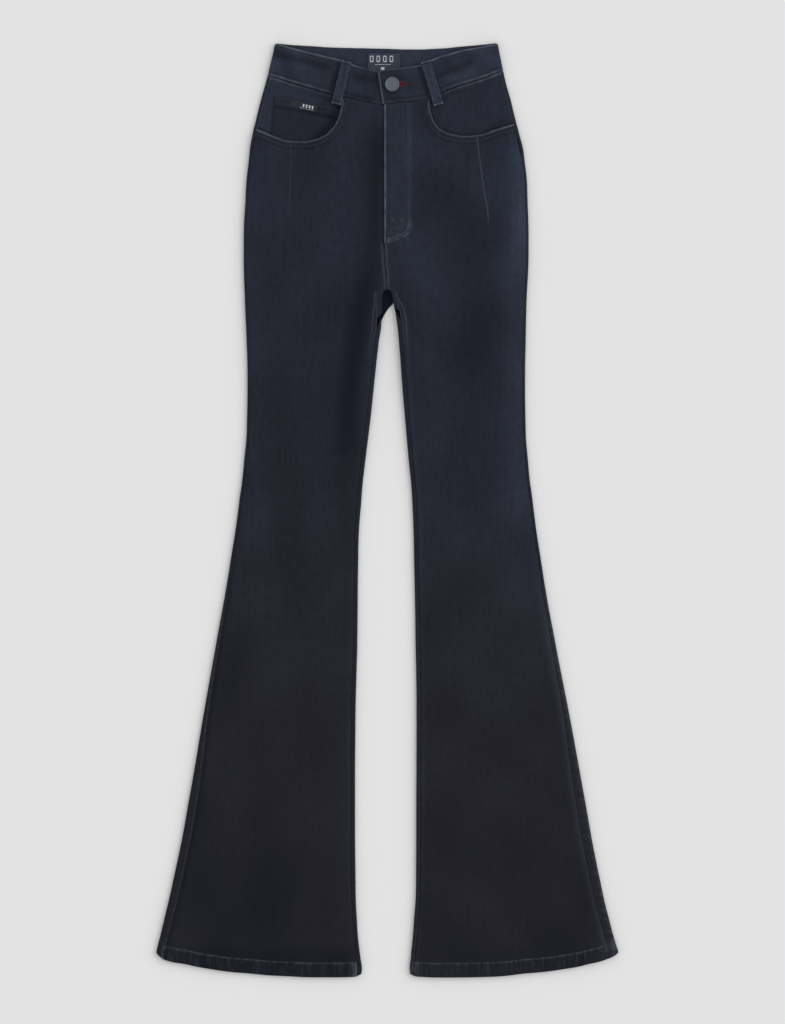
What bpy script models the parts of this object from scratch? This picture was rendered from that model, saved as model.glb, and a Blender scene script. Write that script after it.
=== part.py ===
"""Bootcut jeans, laid flat and face up, waist towards +Y.

Sizes are millimetres in the garment's own lay-out: "out" is the distance from
the centre line towards a leg's side seam, "down" runs from the top of the waist
to the hems, and z is the height above what the jeans lie on.  The wearer's right
leg lies towards -X.  Each cloth piece is a closed wall between two sheets.
"""
import math

import bpy
import numpy as np

# ---------------------------------------------------------------- main sizes
LENGTH = 1122.0           # top of the waist to the lowest point of the hems
MIDDLE_DOWN = 561.4       # the lay-out's middle, placed at y = 0
CLOTH = 1.2               # denim
BAND_CLOTH = 2.2          # waistband, two layers
HEM_CLOTH = 2.0           # turned hem, two layers
HEM_DEPTH = 18.0
HEM_STEP = 0.4            # how far the hem stands out of the front
TRIM_CLOTH = 1.0          # coin pocket and woven labels
LOOP_CLOTH = 1.5
SEAM_GAP = 0.3            # between pieces at their seams and where they lie on each other
LAY_HIP = 6.0             # height of the front over the hips and of the waistband
LAY_KNEE = 5.0            # and at the knee
LAY_HEM = 5.8             # and at the hem
EDGE_FADE = 16.0          # width over which folds of the front die out at its side
RISE_FULL = 12.0          # the crotch's rise is full up to this far from the inner edge
RISE_OUT = 75.0           # and gone from here

SIDE_TURN_HIP = 3.2       # how far the back comes round onto the front at the hip
SIDE_TURN_WIDE = 11.4     # at most, where the side seam shows on top
SIDE_TURN_HEM = 9.8       # and at the hem
INSEAM_TURN = 5.0         # and along the inner leg
SHORTEST_TURN = 1.6       # length of the inner edge where it only starts to turn
SHORTEST_STRIP = 0.4      # and of the flat strip past the turn
STRAIGHT_DOWN = 141.0     # below this the rows run across the whole leg
ARCH_DOWN = 296.0         # lower end of the centre front seam
FORK_DOWN = 313.0         # lower end of the centre back seam
FORK_END = 334.0          # below this the back's inner edge is the front's
BACK_SEAM_DOWN = 46.5     # the back's seam with the waistband, at the centre
SIDE_SEAM_DOWN = {"right": 39.8, "left": 33.4}   # and at the sides

FLY_END = 237.0           # lower end of the fly
FLY_LIFT = 1.5            # left front over the right front at the fly
FLY_FULL = 23.0           # full lift up to this far out
FLY_OUT = 41.0            # and none from here
FLY_FADE = 18.0           # length over which the lift dies out below the fly
FLY_UNDERLAY = 6.0        # right front under the left one
UNDERLAY_FADE = 16.0
TAB_LIFT = BAND_CLOTH + SEAM_GAP
TAB_FROM = 27.0           # the tab is fully lifted up to here
TAB_TO = 40.0             # and level with the band from here
BAND_UNDERLAP = 24.0      # right end of the band under the tab
TAB_END_SEAM = -5.1       # the tab's end, at the seam
TAB_END_TOP = -11.2       # and at the top edge

MOUTH_LIFT = {"right": 1.5, "left": 0.5}   # pocket mouth over what lies in it
MOUTH_EDGE = 4.0          # width of the full lift below the mouth
MOUTH_FADE = 34.0         # and of the whole lift
MOUTH_BAND_FADE = 13.0    # the lift grows over this length below the waistband
MOUTH_SHARE = 0.7         # share of a front's points that lie along the mouth
FACING_TUCK = 13.0        # pocket facing under the front
FACING_EDGE = 8.0         # and past the mouth's upper end
FACING_LEAST = 22.0       # its shortest length below the waistband
FACING_SAG = 0.35         # how far its middle lies lower than its edges
COIN_TUCK = 7.0           # coin pocket under the front
COIN_TOP = ((134.3, 64.6), (57.5, 80.5))   # ends of its top edge, out and down
COIN_LOW = (140.0, 54.5)  # how far out its lower edge begins and ends
COIN_LABEL_START = (115.1, 68.9)
COIN_LABEL_SIZE = (33.0, 8.4)
COIN_LABEL_TILT = 12.0
WAIST_LABEL_X = (-22.6, 15.8)
WAIST_LABEL_DOWN = (12.9, 35.4)
LOOP_WIDTH = 12.2
LOOP_SLACK = 1.8          # height of a belt loop's middle over its ends
LOOPS = {"right": ((48.1, 22.6), (60.6, 74.4)), "left": ((46.4, 22.4), (62.4, 75.0))}

BUTTON_OUT = 6.4          # towards the wearer's left
BUTTON_DOWN = 50.6
BUTTON_RADIUS = 8.7
BUTTON_HEIGHT = 3.4
SHANK_RADIUS = 2.6
SLIT_LENGTH = 18.0        # from the shank's axis to the end of the buttonhole
SLIT_WIDTH = 1.4

FOLD_STEPS = 4            # flats round a side or inner fold
BACK_FLATS = 5            # and across a back's flat part
BUTTON_SIDES = 24

SIGN = {"right": -1.0, "left": 1.0}
DENIM = (0.030, 0.035, 0.043)
LABEL = (0.012, 0.013, 0.016)
METAL = (0.17, 0.18, 0.20)


def smooth_curve(knots, values, at):
    """Monotone cubic through the knots, level outside them."""
    step = np.diff(knots)
    rise = np.diff(values) / step
    slope = np.concatenate([rise[:1], np.zeros(len(step) - 1), rise[-1:]])
    for i in range(1, len(step)):
        if rise[i - 1] * rise[i] > 0:
            before = 2 * step[i] + step[i - 1]
            after = step[i] + 2 * step[i - 1]
            slope[i] = (before + after) / (before / rise[i - 1] + after / rise[i])
    at = np.clip(at, knots[0], knots[-1])
    i = np.clip(np.searchsorted(knots, at) - 1, 0, len(step) - 1)
    t = (at - knots[i]) / step[i]
    start = values[i] + t * step[i] * slope[i]
    end = values[i + 1] - (1 - t) * step[i] * slope[i + 1]
    blend = t * t * (3 - 2 * t)
    return start * (1 - blend) + end * blend


class Table:
    """Rows of sizes under named columns, read as smooth curves of the first."""

    def __init__(self, names, *rows):
        columns = np.array(rows, float).T
        self.columns = dict(zip(names.split(), columns))
        self.at = columns[0]

    def read(self, name, at):
        return smooth_curve(self.at, self.columns[name], np.asarray(at, float))


# Outer edge of each side.
SIDE = Table(
    "down right left",
    (0, 133.7, 133.0),
    (20, 138.7, 137.7),
    (38, 142.6, 140.7),
    (69, 151.0, 148.8),
    (98, 158.2, 155.9),
    (108, 160.7, 158.6),
    (141, 165.6, 165.4),
    (189, 169.6, 169.0),
    (249, 171.7, 170.3),
    (309, 170.3, 167.9),
    (357, 168.3, 166.9),
    (405, 167.2, 166.1),
    (453, 167.8, 166.6),
    (501, 171.1, 169.5),
    (549, 176.8, 175.0),
    (621, 187.3, 185.1),
    (717, 204.0, 201.8),
    (813, 221.0, 220.4),
    (909, 237.4, 237.9),
    (1005, 256.2, 256.0),
    (1053, 267.3, 267.1),
    (1093, 276.8, 278.2),
)
# Inner edge of each front: centre seam, crotch arch, then the inner leg.
FRONT_INNER = Table(
    "down right left",
    (0, 3.2, -3.2),
    (240, 3.2, -3.2),
    (285, 0.4, -0.4),
    (296, 0.0, 0.0),
    (298.5, 2.9, 4.3),
    (302, 5.1, 6.1),
    (313, 6.1, 8.1),
    (334, 6.3, 11.9),
    (357, 9.2, 14.4),
    (405, 14.5, 18.0),
    (453, 19.6, 22.1),
    (501, 25.5, 26.3),
    (549, 30.4, 30.5),
    (621, 34.2, 32.8),
    (717, 35.2, 34.5),
    (813, 37.5, 35.7),
    (909, 38.0, 35.4),
    (1005, 37.4, 35.1),
    (1053, 35.8, 32.7),
    (1101, 31.2, 28.5),
    (1111, 30.1, 27.7),
    (1122, 31.3, 29.2),
)
# Centre back seam, which drifts to the left side at the crotch.
BACK_SEAM = Table(
    "down x",
    (0, 0.0),
    (285, 0.0),
    (300, 3.9),
    (FORK_DOWN, 7.7),
)
# Inner edge of each back below that seam, where it reaches lower than the front.
BACK_FORK = Table(
    "down right left",
    (FORK_DOWN, -7.7, 7.7),
    (323, 0.5, 10.1),
    (FORK_END, 6.3, 11.9),
)
# How far the back's inner edge has turned up, in degrees.
FORK_TURN = Table(
    "down right left",
    (312, 0, 0),
    (320, 25, 90),
    (328, 90, 150),
    (336, 150, 180),
    (346, 180, 180),
)
# Waistband edges on the front: seam with the panels, and top edge.
FRONT_WAIST = Table(
    "out right_seam right_top left_seam left_top",
    (-26, 75.6, 38.5, 75.8, 38.0),
    (-10, 75.2, 38.0, 74.6, 34.9),
    (0, 74.7, 36.5, 73.7, 32.6),
    (20, 72.4, 32.0, 71.4, 30.1),
    (40, 67.9, 26.7, 69.2, 26.9),
    (55, 64.6, 21.0, 64.2, 19.9),
    (75, 59.6, 16.1, 55.9, 13.5),
    (95, 53.6, 11.2, 49.2, 8.3),
    (115, 48.0, 6.2, 42.8, 4.8),
    (132, 42.6, 1.9, 36.5, 1.6),
    (143, 39.6, 0.8, 32.6, 0.4),
)
# Its top edge on the back.
BACK_WAIST = Table(
    "out right_top left_top",
    (0, 7.3, 7.3),
    (30, 6.6, 8.1),
    (60, 5.9, 7.2),
    (90, 4.1, 4.5),
    (120, 2.1, 1.8),
    (143, -0.9, -1.4),
)
# Pocket mouths, from the side seam round to the waistband.
MOUTH = Table(
    "share right_out right_down left_out left_down",
    (0.00, 157.3, 103.6, 154.6, 96.9),
    (0.08, 147.4, 107.2, 143.1, 100.4),
    (0.21, 130.0, 114.2, 126.2, 105.7),
    (0.31, 116.0, 118.0, 109.8, 110.7),
    (0.41, 101.2, 118.5, 94.0, 112.0),
    (0.50, 89.1, 116.8, 80.7, 110.2),
    (0.58, 78.7, 113.3, 69.6, 106.7),
    (0.68, 67.3, 104.5, 60.3, 99.4),
    (0.78, 59.6, 92.7, 54.8, 89.4),
    (0.88, 55.6, 79.8, 52.2, 79.2),
    (1.00, 52.8, 65.9, 51.0, 66.7),
)
# How far the hem line rises above its lowest point.
HEM_RISE = Table(
    "across right left",
    (0.00, 30.0, 30.0),
    (0.02, 24.6, 26.0),
    (0.05, 20.4, 22.4),
    (0.14, 16.1, 16.2),
    (0.25, 10.6, 10.5),
    (0.45, 4.9, 4.7),
    (0.65, 1.4, 0.6),
    (0.80, 0.2, 0.0),
    (0.96, 0.6, 0.8),
    (1.00, 4.0, 3.6),
)
# Height of the front above the floor.
LAY = Table(
    "down height",
    (0, LAY_HIP),
    (300, LAY_HIP),
    (540, LAY_KNEE),
    (900, LAY_KNEE + 0.2),
    (LENGTH, LAY_HEM),
)
# How much higher the cloth stands at the inner edges, most at the crotch.
CROTCH_RISE = Table(
    "down height",
    (150, 0),
    (290, 2.4),
    (350, 2.6),
    (450, 1.2),
    (560, 0),
)
# Width of the back that shows on the front beside the side seam.
SIDE_TURN = Table(
    "down width",
    (0, SIDE_TURN_HIP),
    (520, SIDE_TURN_HIP),
    (717, 4.8),
    (813, 7.0),
    (861, 9.4),
    (957, SIDE_TURN_WIDE),
    (1041, 11.0),
    (LENGTH, SIDE_TURN_HEM),
)
# Button from its face round the rolled rim to where the shank begins: radius as a
# share of the cap's, height from the cap's top.
BUTTON_FORM = (
    (0.60, -0.6),
    (0.76, -0.7),
    (0.82, 0.0),
    (0.93, -0.1),
    (1.00, -0.9),
    (0.94, -1.8),
    (0.55, -2.8),
)
# Soft troughs and swells of the front, each along one line.
FOLD_COLUMNS = "leg out_from down_from out_to down_to half_width height"
FOLDS = (
    ("right", 15, 85, 18, 285, 9, -0.8),
    ("right", 25, 290, 45, 520, 11, -1.0),
    ("right", 120, 150, 112, 330, 26, 0.5),
    ("right", 96, 560, 128, 980, 24, -0.5),
    ("left", 34, 110, 30, 280, 10, -0.5),
    ("left", 26, 330, 48, 520, 10, -0.5),
    ("left", 136, 170, 150, 480, 12, 0.6),
    ("left", 88, 600, 120, 1000, 26, -0.5),
)


# ---------------------------------------------------------------- lay-out
def ramp(value, start, end):
    """0 at start, 1 at end, with soft ends."""
    t = np.clip((np.asarray(value, float) - start) / (end - start), 0, 1)
    return t * t * (3 - 2 * t)


def front_inner(leg, down):
    """Inner edge of the front layer, beside its own seam."""
    edge = float(FRONT_INNER.read(leg, down))
    if down <= ARCH_DOWN:
        edge += SEAM_GAP / 2
    return edge


def back_inner(leg, down):
    """Inner edge of the back layer, beside its own seam."""
    if down <= FORK_DOWN:
        return float(SIGN[leg] * BACK_SEAM.read("x", down)) + SEAM_GAP / 2
    if down <= FORK_END:
        return float(BACK_FORK.read(leg, down))
    return float(FRONT_INNER.read(leg, down))


def side_edge(leg, down):
    return float(SIDE.read(leg, down))


def side_seam(leg, down):
    """Where the back ends on the front, at the side."""
    return side_edge(leg, down) - float(SIDE_TURN.read("width", down))


def hem_line(leg, across, station):
    """Down of a point of a row: rows bend towards the hem's own line."""
    share = np.clip((station - STRAIGHT_DOWN) / (LENGTH - STRAIGHT_DOWN), 0, 1)
    return station - HEM_RISE.read(leg, across) * share


def band_fold_out(leg):
    """Where the waistband's front begins to turn round the side."""
    return side_edge(leg, SIDE_SEAM_DOWN[leg]) - LAY_HIP / 2


def front_seam_down(leg, out):
    """The front's seam with the waistband."""
    out = np.minimum(out, band_fold_out(leg))
    return float(FRONT_WAIST.read(leg + "_seam", out))


def back_seam_down(leg, out):
    """The back's seam with the waistband, level with the front's at the side."""
    end = band_fold_out(leg)
    side = front_seam_down(leg, end)
    return BACK_SEAM_DOWN - (BACK_SEAM_DOWN - side) * min(abs(out) / end, 1.0) ** 2


def seam_stops(leg):
    """Distances out of the waist seam's points: side to pocket mouth, mouth to centre."""
    mouth = float(MOUTH.read(leg + "_out", 1.0))
    pocket = np.linspace(band_fold_out(leg), mouth, 9)
    middle = np.linspace(mouth, front_inner_edge(leg, front_seam_down(leg, 0.0)), 6)
    return pocket, middle


def fold_relief(leg, out, down):
    """Height that the soft troughs and swells add."""
    total = 0.0
    for row in FOLDS:
        fold = dict(zip(FOLD_COLUMNS.split(), row))
        if fold["leg"] != leg:
            continue
        share = (down - fold["down_from"]) / (fold["down_to"] - fold["down_from"])
        middle = fold["out_from"] + share * (fold["out_to"] - fold["out_from"])
        along = ramp(share, -0.15, 0.25) * ramp(share, 1.15, 0.75)
        across = np.exp(-((out - middle) / fold["half_width"]) ** 2)
        total = total + fold["height"] * along * across
    return total


def mouth_distance(leg, out, down):
    """Distance of a point from the pocket mouth."""
    share = np.linspace(0, 1, 41)
    mouth_out = MOUTH.read(leg + "_out", share)
    mouth_down = MOUTH.read(leg + "_down", share)
    return float(np.min(np.hypot(mouth_out - out, mouth_down - down)))


def fly_lift(out, down):
    """Height of the left front over the right one at the fly."""
    return FLY_LIFT * ramp(out, FLY_OUT, FLY_FULL) * ramp(down, FLY_END + FLY_FADE, FLY_END)


def mouth_lift(leg, out, down):
    """Height of the front over the facing, beside the pocket mouth."""
    below_band = ramp(down - front_seam_down(leg, out), 0, MOUTH_BAND_FADE)
    from_side = ramp(side_edge(leg, down) - out, 3, 24)
    near = ramp(mouth_distance(leg, out, down), MOUTH_FADE, MOUTH_EDGE)
    return MOUTH_LIFT[leg] * float(below_band * from_side * near)


def inner_height(down):
    """Height of the inner folds, where the cloth stands higher at the crotch."""
    return float(LAY.read("height", down) + CROTCH_RISE.read("height", down))


def front_height(leg, out, down):
    """Top of the front panel above the floor."""
    height = float(LAY.read("height", down))
    inner = FRONT_INNER.read(leg, down)
    height += float(CROTCH_RISE.read("height", down) * ramp(out - inner, RISE_OUT, RISE_FULL))
    from_side = ramp(side_edge(leg, down) - out, 4, 4 + EDGE_FADE)
    from_inner = ramp(out - inner, 3, 14)
    height += float(fold_relief(leg, out, down) * from_side * from_inner)
    height += mouth_lift(leg, out, down)
    if leg == "left":
        height += float(fly_lift(out, down))
    return height


def facing_height(leg, out, down):
    """Top of the pocket facing, just under the front."""
    sag = FACING_SAG * ramp(down, 60, 90) * ramp(side_edge(leg, down) - out, 4, 26)
    return float(LAY.read("height", down) - CLOTH - SEAM_GAP - sag)


def side_height(leg, down):
    """Height of the side fold: the facing's in the pocket mouth, else the front's."""
    mouth_end = float(MOUTH.read(leg + "_down", 0.0))
    in_mouth = ramp(down, mouth_end + 1.5, mouth_end - 2.5)
    return float(LAY.read("height", down) - (CLOTH + SEAM_GAP) * in_mouth)


def place(leg, out, down, height):
    """Millimetres of the part for a point of the lay-out."""
    return (SIGN[leg] * out, MIDDLE_DOWN - down, height)


# ---------------------------------------------------------------- solids
def material(name, colour, roughness, metallic=0.0):
    made = bpy.data.materials.new(name)
    made.use_nodes = True
    shader = made.node_tree.nodes["Principled BSDF"]
    shader.inputs["Base Color"].default_value = (*colour, 1)
    shader.inputs["Roughness"].default_value = roughness
    shader.inputs["Metallic"].default_value = metallic
    return made


def add_object(name, points, faces, colour, roughness=0.9, metallic=0.0):
    """A closed solid from points in millimetres, faces turned outwards."""
    corners = np.array(points) * 0.001
    volume = 0.0
    for face in faces:
        for i in range(1, len(face) - 1):
            a, b, c = corners[face[0]], corners[face[i]], corners[face[i + 1]]
            volume += float(np.dot(a, np.cross(b, c)))
    if volume < 0:
        faces = [tuple(reversed(face)) for face in faces]
    mesh = bpy.data.meshes.new(name)
    mesh.from_pydata([tuple(corner) for corner in corners], [], faces)
    mesh.materials.append(material(name, colour, roughness, metallic))
    mesh.shade_smooth()
    mesh.set_sharp_from_angle(angle=math.radians(40))
    made = bpy.data.objects.new(name, mesh)
    bpy.context.collection.objects.link(made)
    return made


def wall(name, outer, inner, colour=DENIM, roughness=0.9):
    """The closed wall between two sheets of points of the same rows and columns."""
    outer = np.array(outer, float)
    inner = np.array(inner, float)
    rows, columns, _ = outer.shape
    points = np.concatenate([outer.reshape(-1, 3), inner.reshape(-1, 3)])
    second = rows * columns
    faces = []
    for r in range(rows - 1):
        for c in range(columns - 1):
            a = r * columns + c
            b = a + 1
            d = a + columns
            e = d + 1
            faces.append((a, b, e, d))
            faces.append((second + a, second + d, second + e, second + b))
    rim = [c for c in range(columns)]
    rim += [r * columns + columns - 1 for r in range(1, rows)]
    rim += [(rows - 1) * columns + c for c in range(columns - 2, -1, -1)]
    rim += [r * columns for r in range(rows - 2, 0, -1)]
    for a, b in zip(rim, rim[1:] + rim[:1]):
        faces.append((b, a, second + a, second + b))
    return add_object(name, points, faces, colour, roughness)


def sunk(sheet, depth):
    """The sheet's points, straight down by a depth."""
    return np.array(sheet, float) - np.array((0, 0, depth))


def inward(sheet, thickness):
    """The sheet's points moved square to their row, within its upright section."""
    across = np.gradient(sheet, axis=1)
    normal = np.stack([-across[..., 2], np.zeros(sheet.shape[:2]), across[..., 0]], axis=2)
    normal /= np.linalg.norm(normal, axis=2, keepdims=True)
    return sheet + normal * thickness[..., None]


# ---------------------------------------------------------------- fronts
def rows_of_leg():
    """Stations that the front and the back share below the crotch."""
    crotch = np.array([FORK_END, 340, 346, 357])
    leg = np.linspace(396, LENGTH - 50, 14)
    hem = LENGTH - np.array([HEM_DEPTH + 2, HEM_DEPTH - 1, 7, 0])
    return np.concatenate([crotch, leg, hem])


def rows_of_hip():
    """Stations that the front and the back share from the pockets to the crotch."""
    fly = (FLY_END - UNDERLAY_FADE, FLY_END, FLY_END + FLY_FADE)
    return np.array([STRAIGHT_DOWN, 168, 195, *fly, 276])


def rows_of_mouth(leg):
    """Places of the rows between the pocket mouth and the first straight row."""
    mouth_end = float(MOUTH.read(leg + "_down", 0.0))
    return mouth_end + (STRAIGHT_DOWN - mouth_end) * np.array([0, 1 / 3, 2 / 3])


def front_inner_edge(leg, down):
    """Inner edge of a front panel: the seam that closes it, or its underlay."""
    edge = front_inner(leg, down)
    if leg == "right":
        edge -= FLY_UNDERLAY * float(ramp(down, FLY_END, FLY_END - UNDERLAY_FADE))
    turn = float(FORK_TURN.read(leg, down))
    return edge + (INSEAM_TURN + SEAM_GAP) * float(ramp(turn, 60, 120))


def front_top(leg, share):
    """Top edge of a front: along the pocket mouth, then along the waistband."""
    if share < MOUTH_SHARE:
        out = float(MOUTH.read(leg + "_out", share / MOUTH_SHARE))
        down = float(MOUTH.read(leg + "_down", share / MOUTH_SHARE))
        return min(out, side_seam(leg, down) - SEAM_GAP), down
    stops = seam_stops(leg)[1]
    stop = (share - MOUTH_SHARE) / (1 - MOUTH_SHARE) * (len(stops) - 1)
    out = float(np.interp(stop, range(len(stops)), stops))
    return out, front_seam_down(leg, out) + SEAM_GAP


def front_row_point(leg, share, station):
    """A point of a row that runs from the side seam to the inner seam."""
    side = side_edge(leg, station)
    width = side - front_inner(leg, station)
    first = side_seam(leg, station) - SEAM_GAP
    last = front_inner_edge(leg, station)
    across = (side - first - (last - first) * share) / width
    down = float(hem_line(leg, across, station))
    first = side_seam(leg, down) - SEAM_GAP
    last = front_inner_edge(leg, down)
    return first + (last - first) * share, down


def front_sheet(leg):
    """Top sheet of a front panel, and how far each row lies in the hem."""
    along_mouth = np.linspace(0, MOUTH_SHARE, 11)[:-1]
    shares = np.concatenate([along_mouth, np.linspace(MOUTH_SHARE, 1, 6)])
    sheet = []
    hem = []
    for step in (0, 1 / 3, 2 / 3):
        row = []
        for share in shares:
            out, down = front_top(leg, share)
            low_out, low_down = front_row_point(leg, share, STRAIGHT_DOWN)
            out += (low_out - out) * step
            down += (low_down - down) * step
            row.append(place(leg, out, down, front_height(leg, out, down)))
        sheet.append(row)
        hem.append(0.0)
    crotch = np.array([287, ARCH_DOWN, 298.5, 302, 307, 313, 323])
    for station in np.concatenate([rows_of_hip(), crotch, rows_of_leg()]):
        in_hem = float(station > LENGTH - HEM_DEPTH)
        row = []
        for share in shares:
            out, down = front_row_point(leg, share, station)
            height = front_height(leg, out, down) + HEM_STEP * in_hem
            row.append(place(leg, out, down, height))
        sheet.append(row)
        hem.append(in_hem)
    return np.array(sheet), np.array(hem)


def front_panel(leg):
    """A front from the pocket and waistband to the turned hem, in one with its leg."""
    outer, hem = front_sheet(leg)
    inner = outer.copy()
    inner[..., 2] -= (CLOTH + (HEM_CLOTH - CLOTH) * hem)[:, None]
    wall("front_" + leg, outer, inner)


# ---------------------------------------------------------------- backs
def fold_section(radius, turn, strip, steps):
    """Points (outward, height) of an edge that turns up through an angle, and its start."""
    angle = math.radians(turn)
    length = max(radius * angle, SHORTEST_TURN)
    points = []
    for i in range(1, steps + 1):
        swept = angle * i / steps
        if angle < 1e-6:
            points.append((length * i / steps, 0.0))
        else:
            bend = length / angle
            points.append((bend * math.sin(swept), bend * (1 - math.cos(swept))))
    run = max(strip * ramp(turn, 90, 180), SHORTEST_STRIP)
    end = points[-1]
    points.append((end[0] + run * math.cos(angle), end[1] + run * math.sin(angle)))
    reach = max(point[0] for point in points)
    return [(outward - reach, height) for outward, height in points], -reach


def back_section(leg, down):
    """Section of a back: on the front at the side, round, flat, round at the inner leg."""
    side = side_edge(leg, down)
    inner = back_inner(leg, down)
    radius = side_height(leg, down) / 2
    strip = float(SIDE_TURN.read("width", down)) - radius
    side_fold, side_start = fold_section(radius, 180.0, strip, FOLD_STEPS)
    turn = float(FORK_TURN.read(leg, down))
    radius = inner_height(down) / 2
    inner_fold, inner_start = fold_section(radius, turn, INSEAM_TURN - radius, FOLD_STEPS)
    section = [(side + outward, height) for outward, height in reversed(side_fold)]
    flat_from = side + side_start
    flat_to = inner - inner_start
    for share in np.linspace(0, 1, BACK_FLATS + 1):
        section.append((flat_from + (flat_to - flat_from) * share, 0.0))
    section += [(inner - outward, height) for outward, height in inner_fold]
    return section


def back_panel(leg):
    """A back from the waistband to the hem, flat where it lies on the floor."""
    top = front_seam_down(leg, band_fold_out(leg)) + SEAM_GAP
    mouth = rows_of_mouth(leg)
    pocket = np.linspace(top, mouth[0] - 3, 5)
    hip = np.concatenate([pocket, mouth + np.array([2, 0, 0]), rows_of_hip()])
    crotch = np.array([289, 301, 307, FORK_DOWN, 318, 323, 328])
    sheet = []
    depth = []
    for station in hip:
        row = []
        bend = 1 - (station - top) / (crotch[0] - top)
        for index, (out, height) in enumerate(back_section(leg, station)):
            flat = float(FOLD_STEPS < index)
            sag = (back_seam_down(leg, out) + SEAM_GAP - top) * flat * bend
            row.append(place(leg, out, station + sag, height))
        sheet.append(row)
        depth.append([CLOTH] * len(row))
    for station in np.concatenate([crotch, rows_of_leg()]):
        row = []
        side = side_edge(leg, station)
        width = side - back_inner(leg, station)
        for index, (out, height) in enumerate(back_section(leg, station)):
            down = float(hem_line(leg, (side - out) / width, station))
            out, height = back_section(leg, down)[index]
            row.append(place(leg, out, down, height))
        sheet.append(row)
        in_hem = float(station > LENGTH - HEM_DEPTH)
        depth.append([CLOTH + (HEM_CLOTH - CLOTH) * in_hem] * len(row))
    sheet = np.array(sheet)
    wall("back_" + leg, sheet, inward(sheet, -SIGN[leg] * np.array(depth)))


# ---------------------------------------------------------------- pockets
def mouth_down_at(leg, out):
    """Down of the pocket mouth at a distance out."""
    share = np.linspace(1, 0, 61)
    mouth_out = MOUTH.read(leg + "_out", share)
    mouth_down = MOUTH.read(leg + "_down", share)
    return float(np.interp(out, mouth_out, mouth_down))


def pocket_facing(leg):
    """Denim in the pocket mouth, tucked under the front."""
    stops = seam_stops(leg)[0]
    stops = np.append(stops, stops[-1] - FACING_EDGE)
    outer = []
    for step in np.linspace(0, 1, 7):
        row = []
        for stop in stops:
            top = front_seam_down(leg, stop) + SEAM_GAP
            low = max(mouth_down_at(leg, stop) + FACING_TUCK, top + FACING_LEAST)
            down = top + (low - top) * step
            widen = side_seam(leg, down) - SEAM_GAP - stops[0]
            out = stop + widen * (stop - stops[-1]) / (stops[0] - stops[-1])
            row.append(place(leg, out, down, facing_height(leg, out, down)))
        outer.append(row)
    wall("pocket_facing_" + leg, outer, sunk(outer, CLOTH))


def coin_height(out, down):
    """Top of the coin pocket, on the right facing."""
    return facing_height("right", out, down) + SEAM_GAP + TRIM_CLOTH


def coin_pocket():
    """Small patch on the right facing; its lower edge runs under the front."""
    top_from, top_to = np.array(COIN_TOP)
    outer = []
    for step in np.linspace(0, 1, 6):
        row = []
        for share in np.linspace(0, 1, 12):
            top = top_from + (top_to - top_from) * share
            low_out = COIN_LOW[0] + (COIN_LOW[1] - COIN_LOW[0]) * share
            low = np.array((low_out, mouth_down_at("right", low_out) + COIN_TUCK))
            out, down = top + (low - top) * step
            row.append(place("right", out, down, coin_height(out, down)))
        outer.append(row)
    wall("coin_pocket", outer, sunk(outer, TRIM_CLOTH))


def coin_pocket_label():
    """Woven tab, aslant on the coin pocket's top edge."""
    start = np.array(COIN_LABEL_START)
    length, width = COIN_LABEL_SIZE
    tilt = math.radians(COIN_LABEL_TILT)
    along = np.array((-math.cos(tilt), math.sin(tilt)))
    across = np.array((math.sin(tilt), math.cos(tilt)))
    outer = []
    for step in np.linspace(0, 1, 3):
        row = []
        for share in np.linspace(0, 1, 7):
            out, down = start + along * length * share + across * width * step
            height = coin_height(out, down) + SEAM_GAP + TRIM_CLOTH
            row.append(place("right", out, down, height))
        outer.append(row)
    wall("coin_pocket_label", outer, sunk(outer, TRIM_CLOTH), LABEL)


# ---------------------------------------------------------------- waistband
def band_height(leg, out):
    """Top of the waistband's front; the left end lies over the right one."""
    if leg == "right":
        return LAY_HIP
    return LAY_HIP + TAB_LIFT * float(ramp(out, TAB_TO, TAB_FROM))


def band_front(leg, stops, end_top, step):
    """Points of the band's front, from the side to its end, between seam and top edge."""
    side_top = side_edge(leg, 1.0) - LAY_HIP / 2
    points = []
    for stop in stops:
        share = (stops[0] - stop) / (stops[0] - stops[-1])
        top_out = side_top + (end_top - side_top) * share
        top_down = float(FRONT_WAIST.read(leg + "_top", top_out))
        out = stop + (top_out - stop) * step
        down = front_seam_down(leg, stop)
        down += (top_down - down) * step
        points.append(place(leg, out, down, band_height(leg, out)))
    return points


def band_fold(leg, front, back):
    """Points that carry the band round a side, from its front to its back."""
    radius = LAY_HIP / 2
    points = []
    for i in range(1, FOLD_STEPS + 2):
        share = i / (FOLD_STEPS + 2)
        x = front[0] + SIGN[leg] * radius * math.sin(math.pi * share)
        y = front[1] + (back[1] - front[1]) * share
        points.append((x, y, radius * (1 + math.cos(math.pi * share))))
    return points


def band_back(start, end, step):
    """Points of the band's back between the two side folds."""
    points = []
    for share in np.linspace(0, 1, 15):
        x = start[0] + (end[0] - start[0]) * share
        leg = "right" if x < 0 else "left"
        seam = back_seam_down(leg, abs(x))
        top = float(BACK_WAIST.read(leg + "_top", abs(x)))
        points.append((x, MIDDLE_DOWN - seam - (top - seam) * step, 0.0))
    return points


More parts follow.
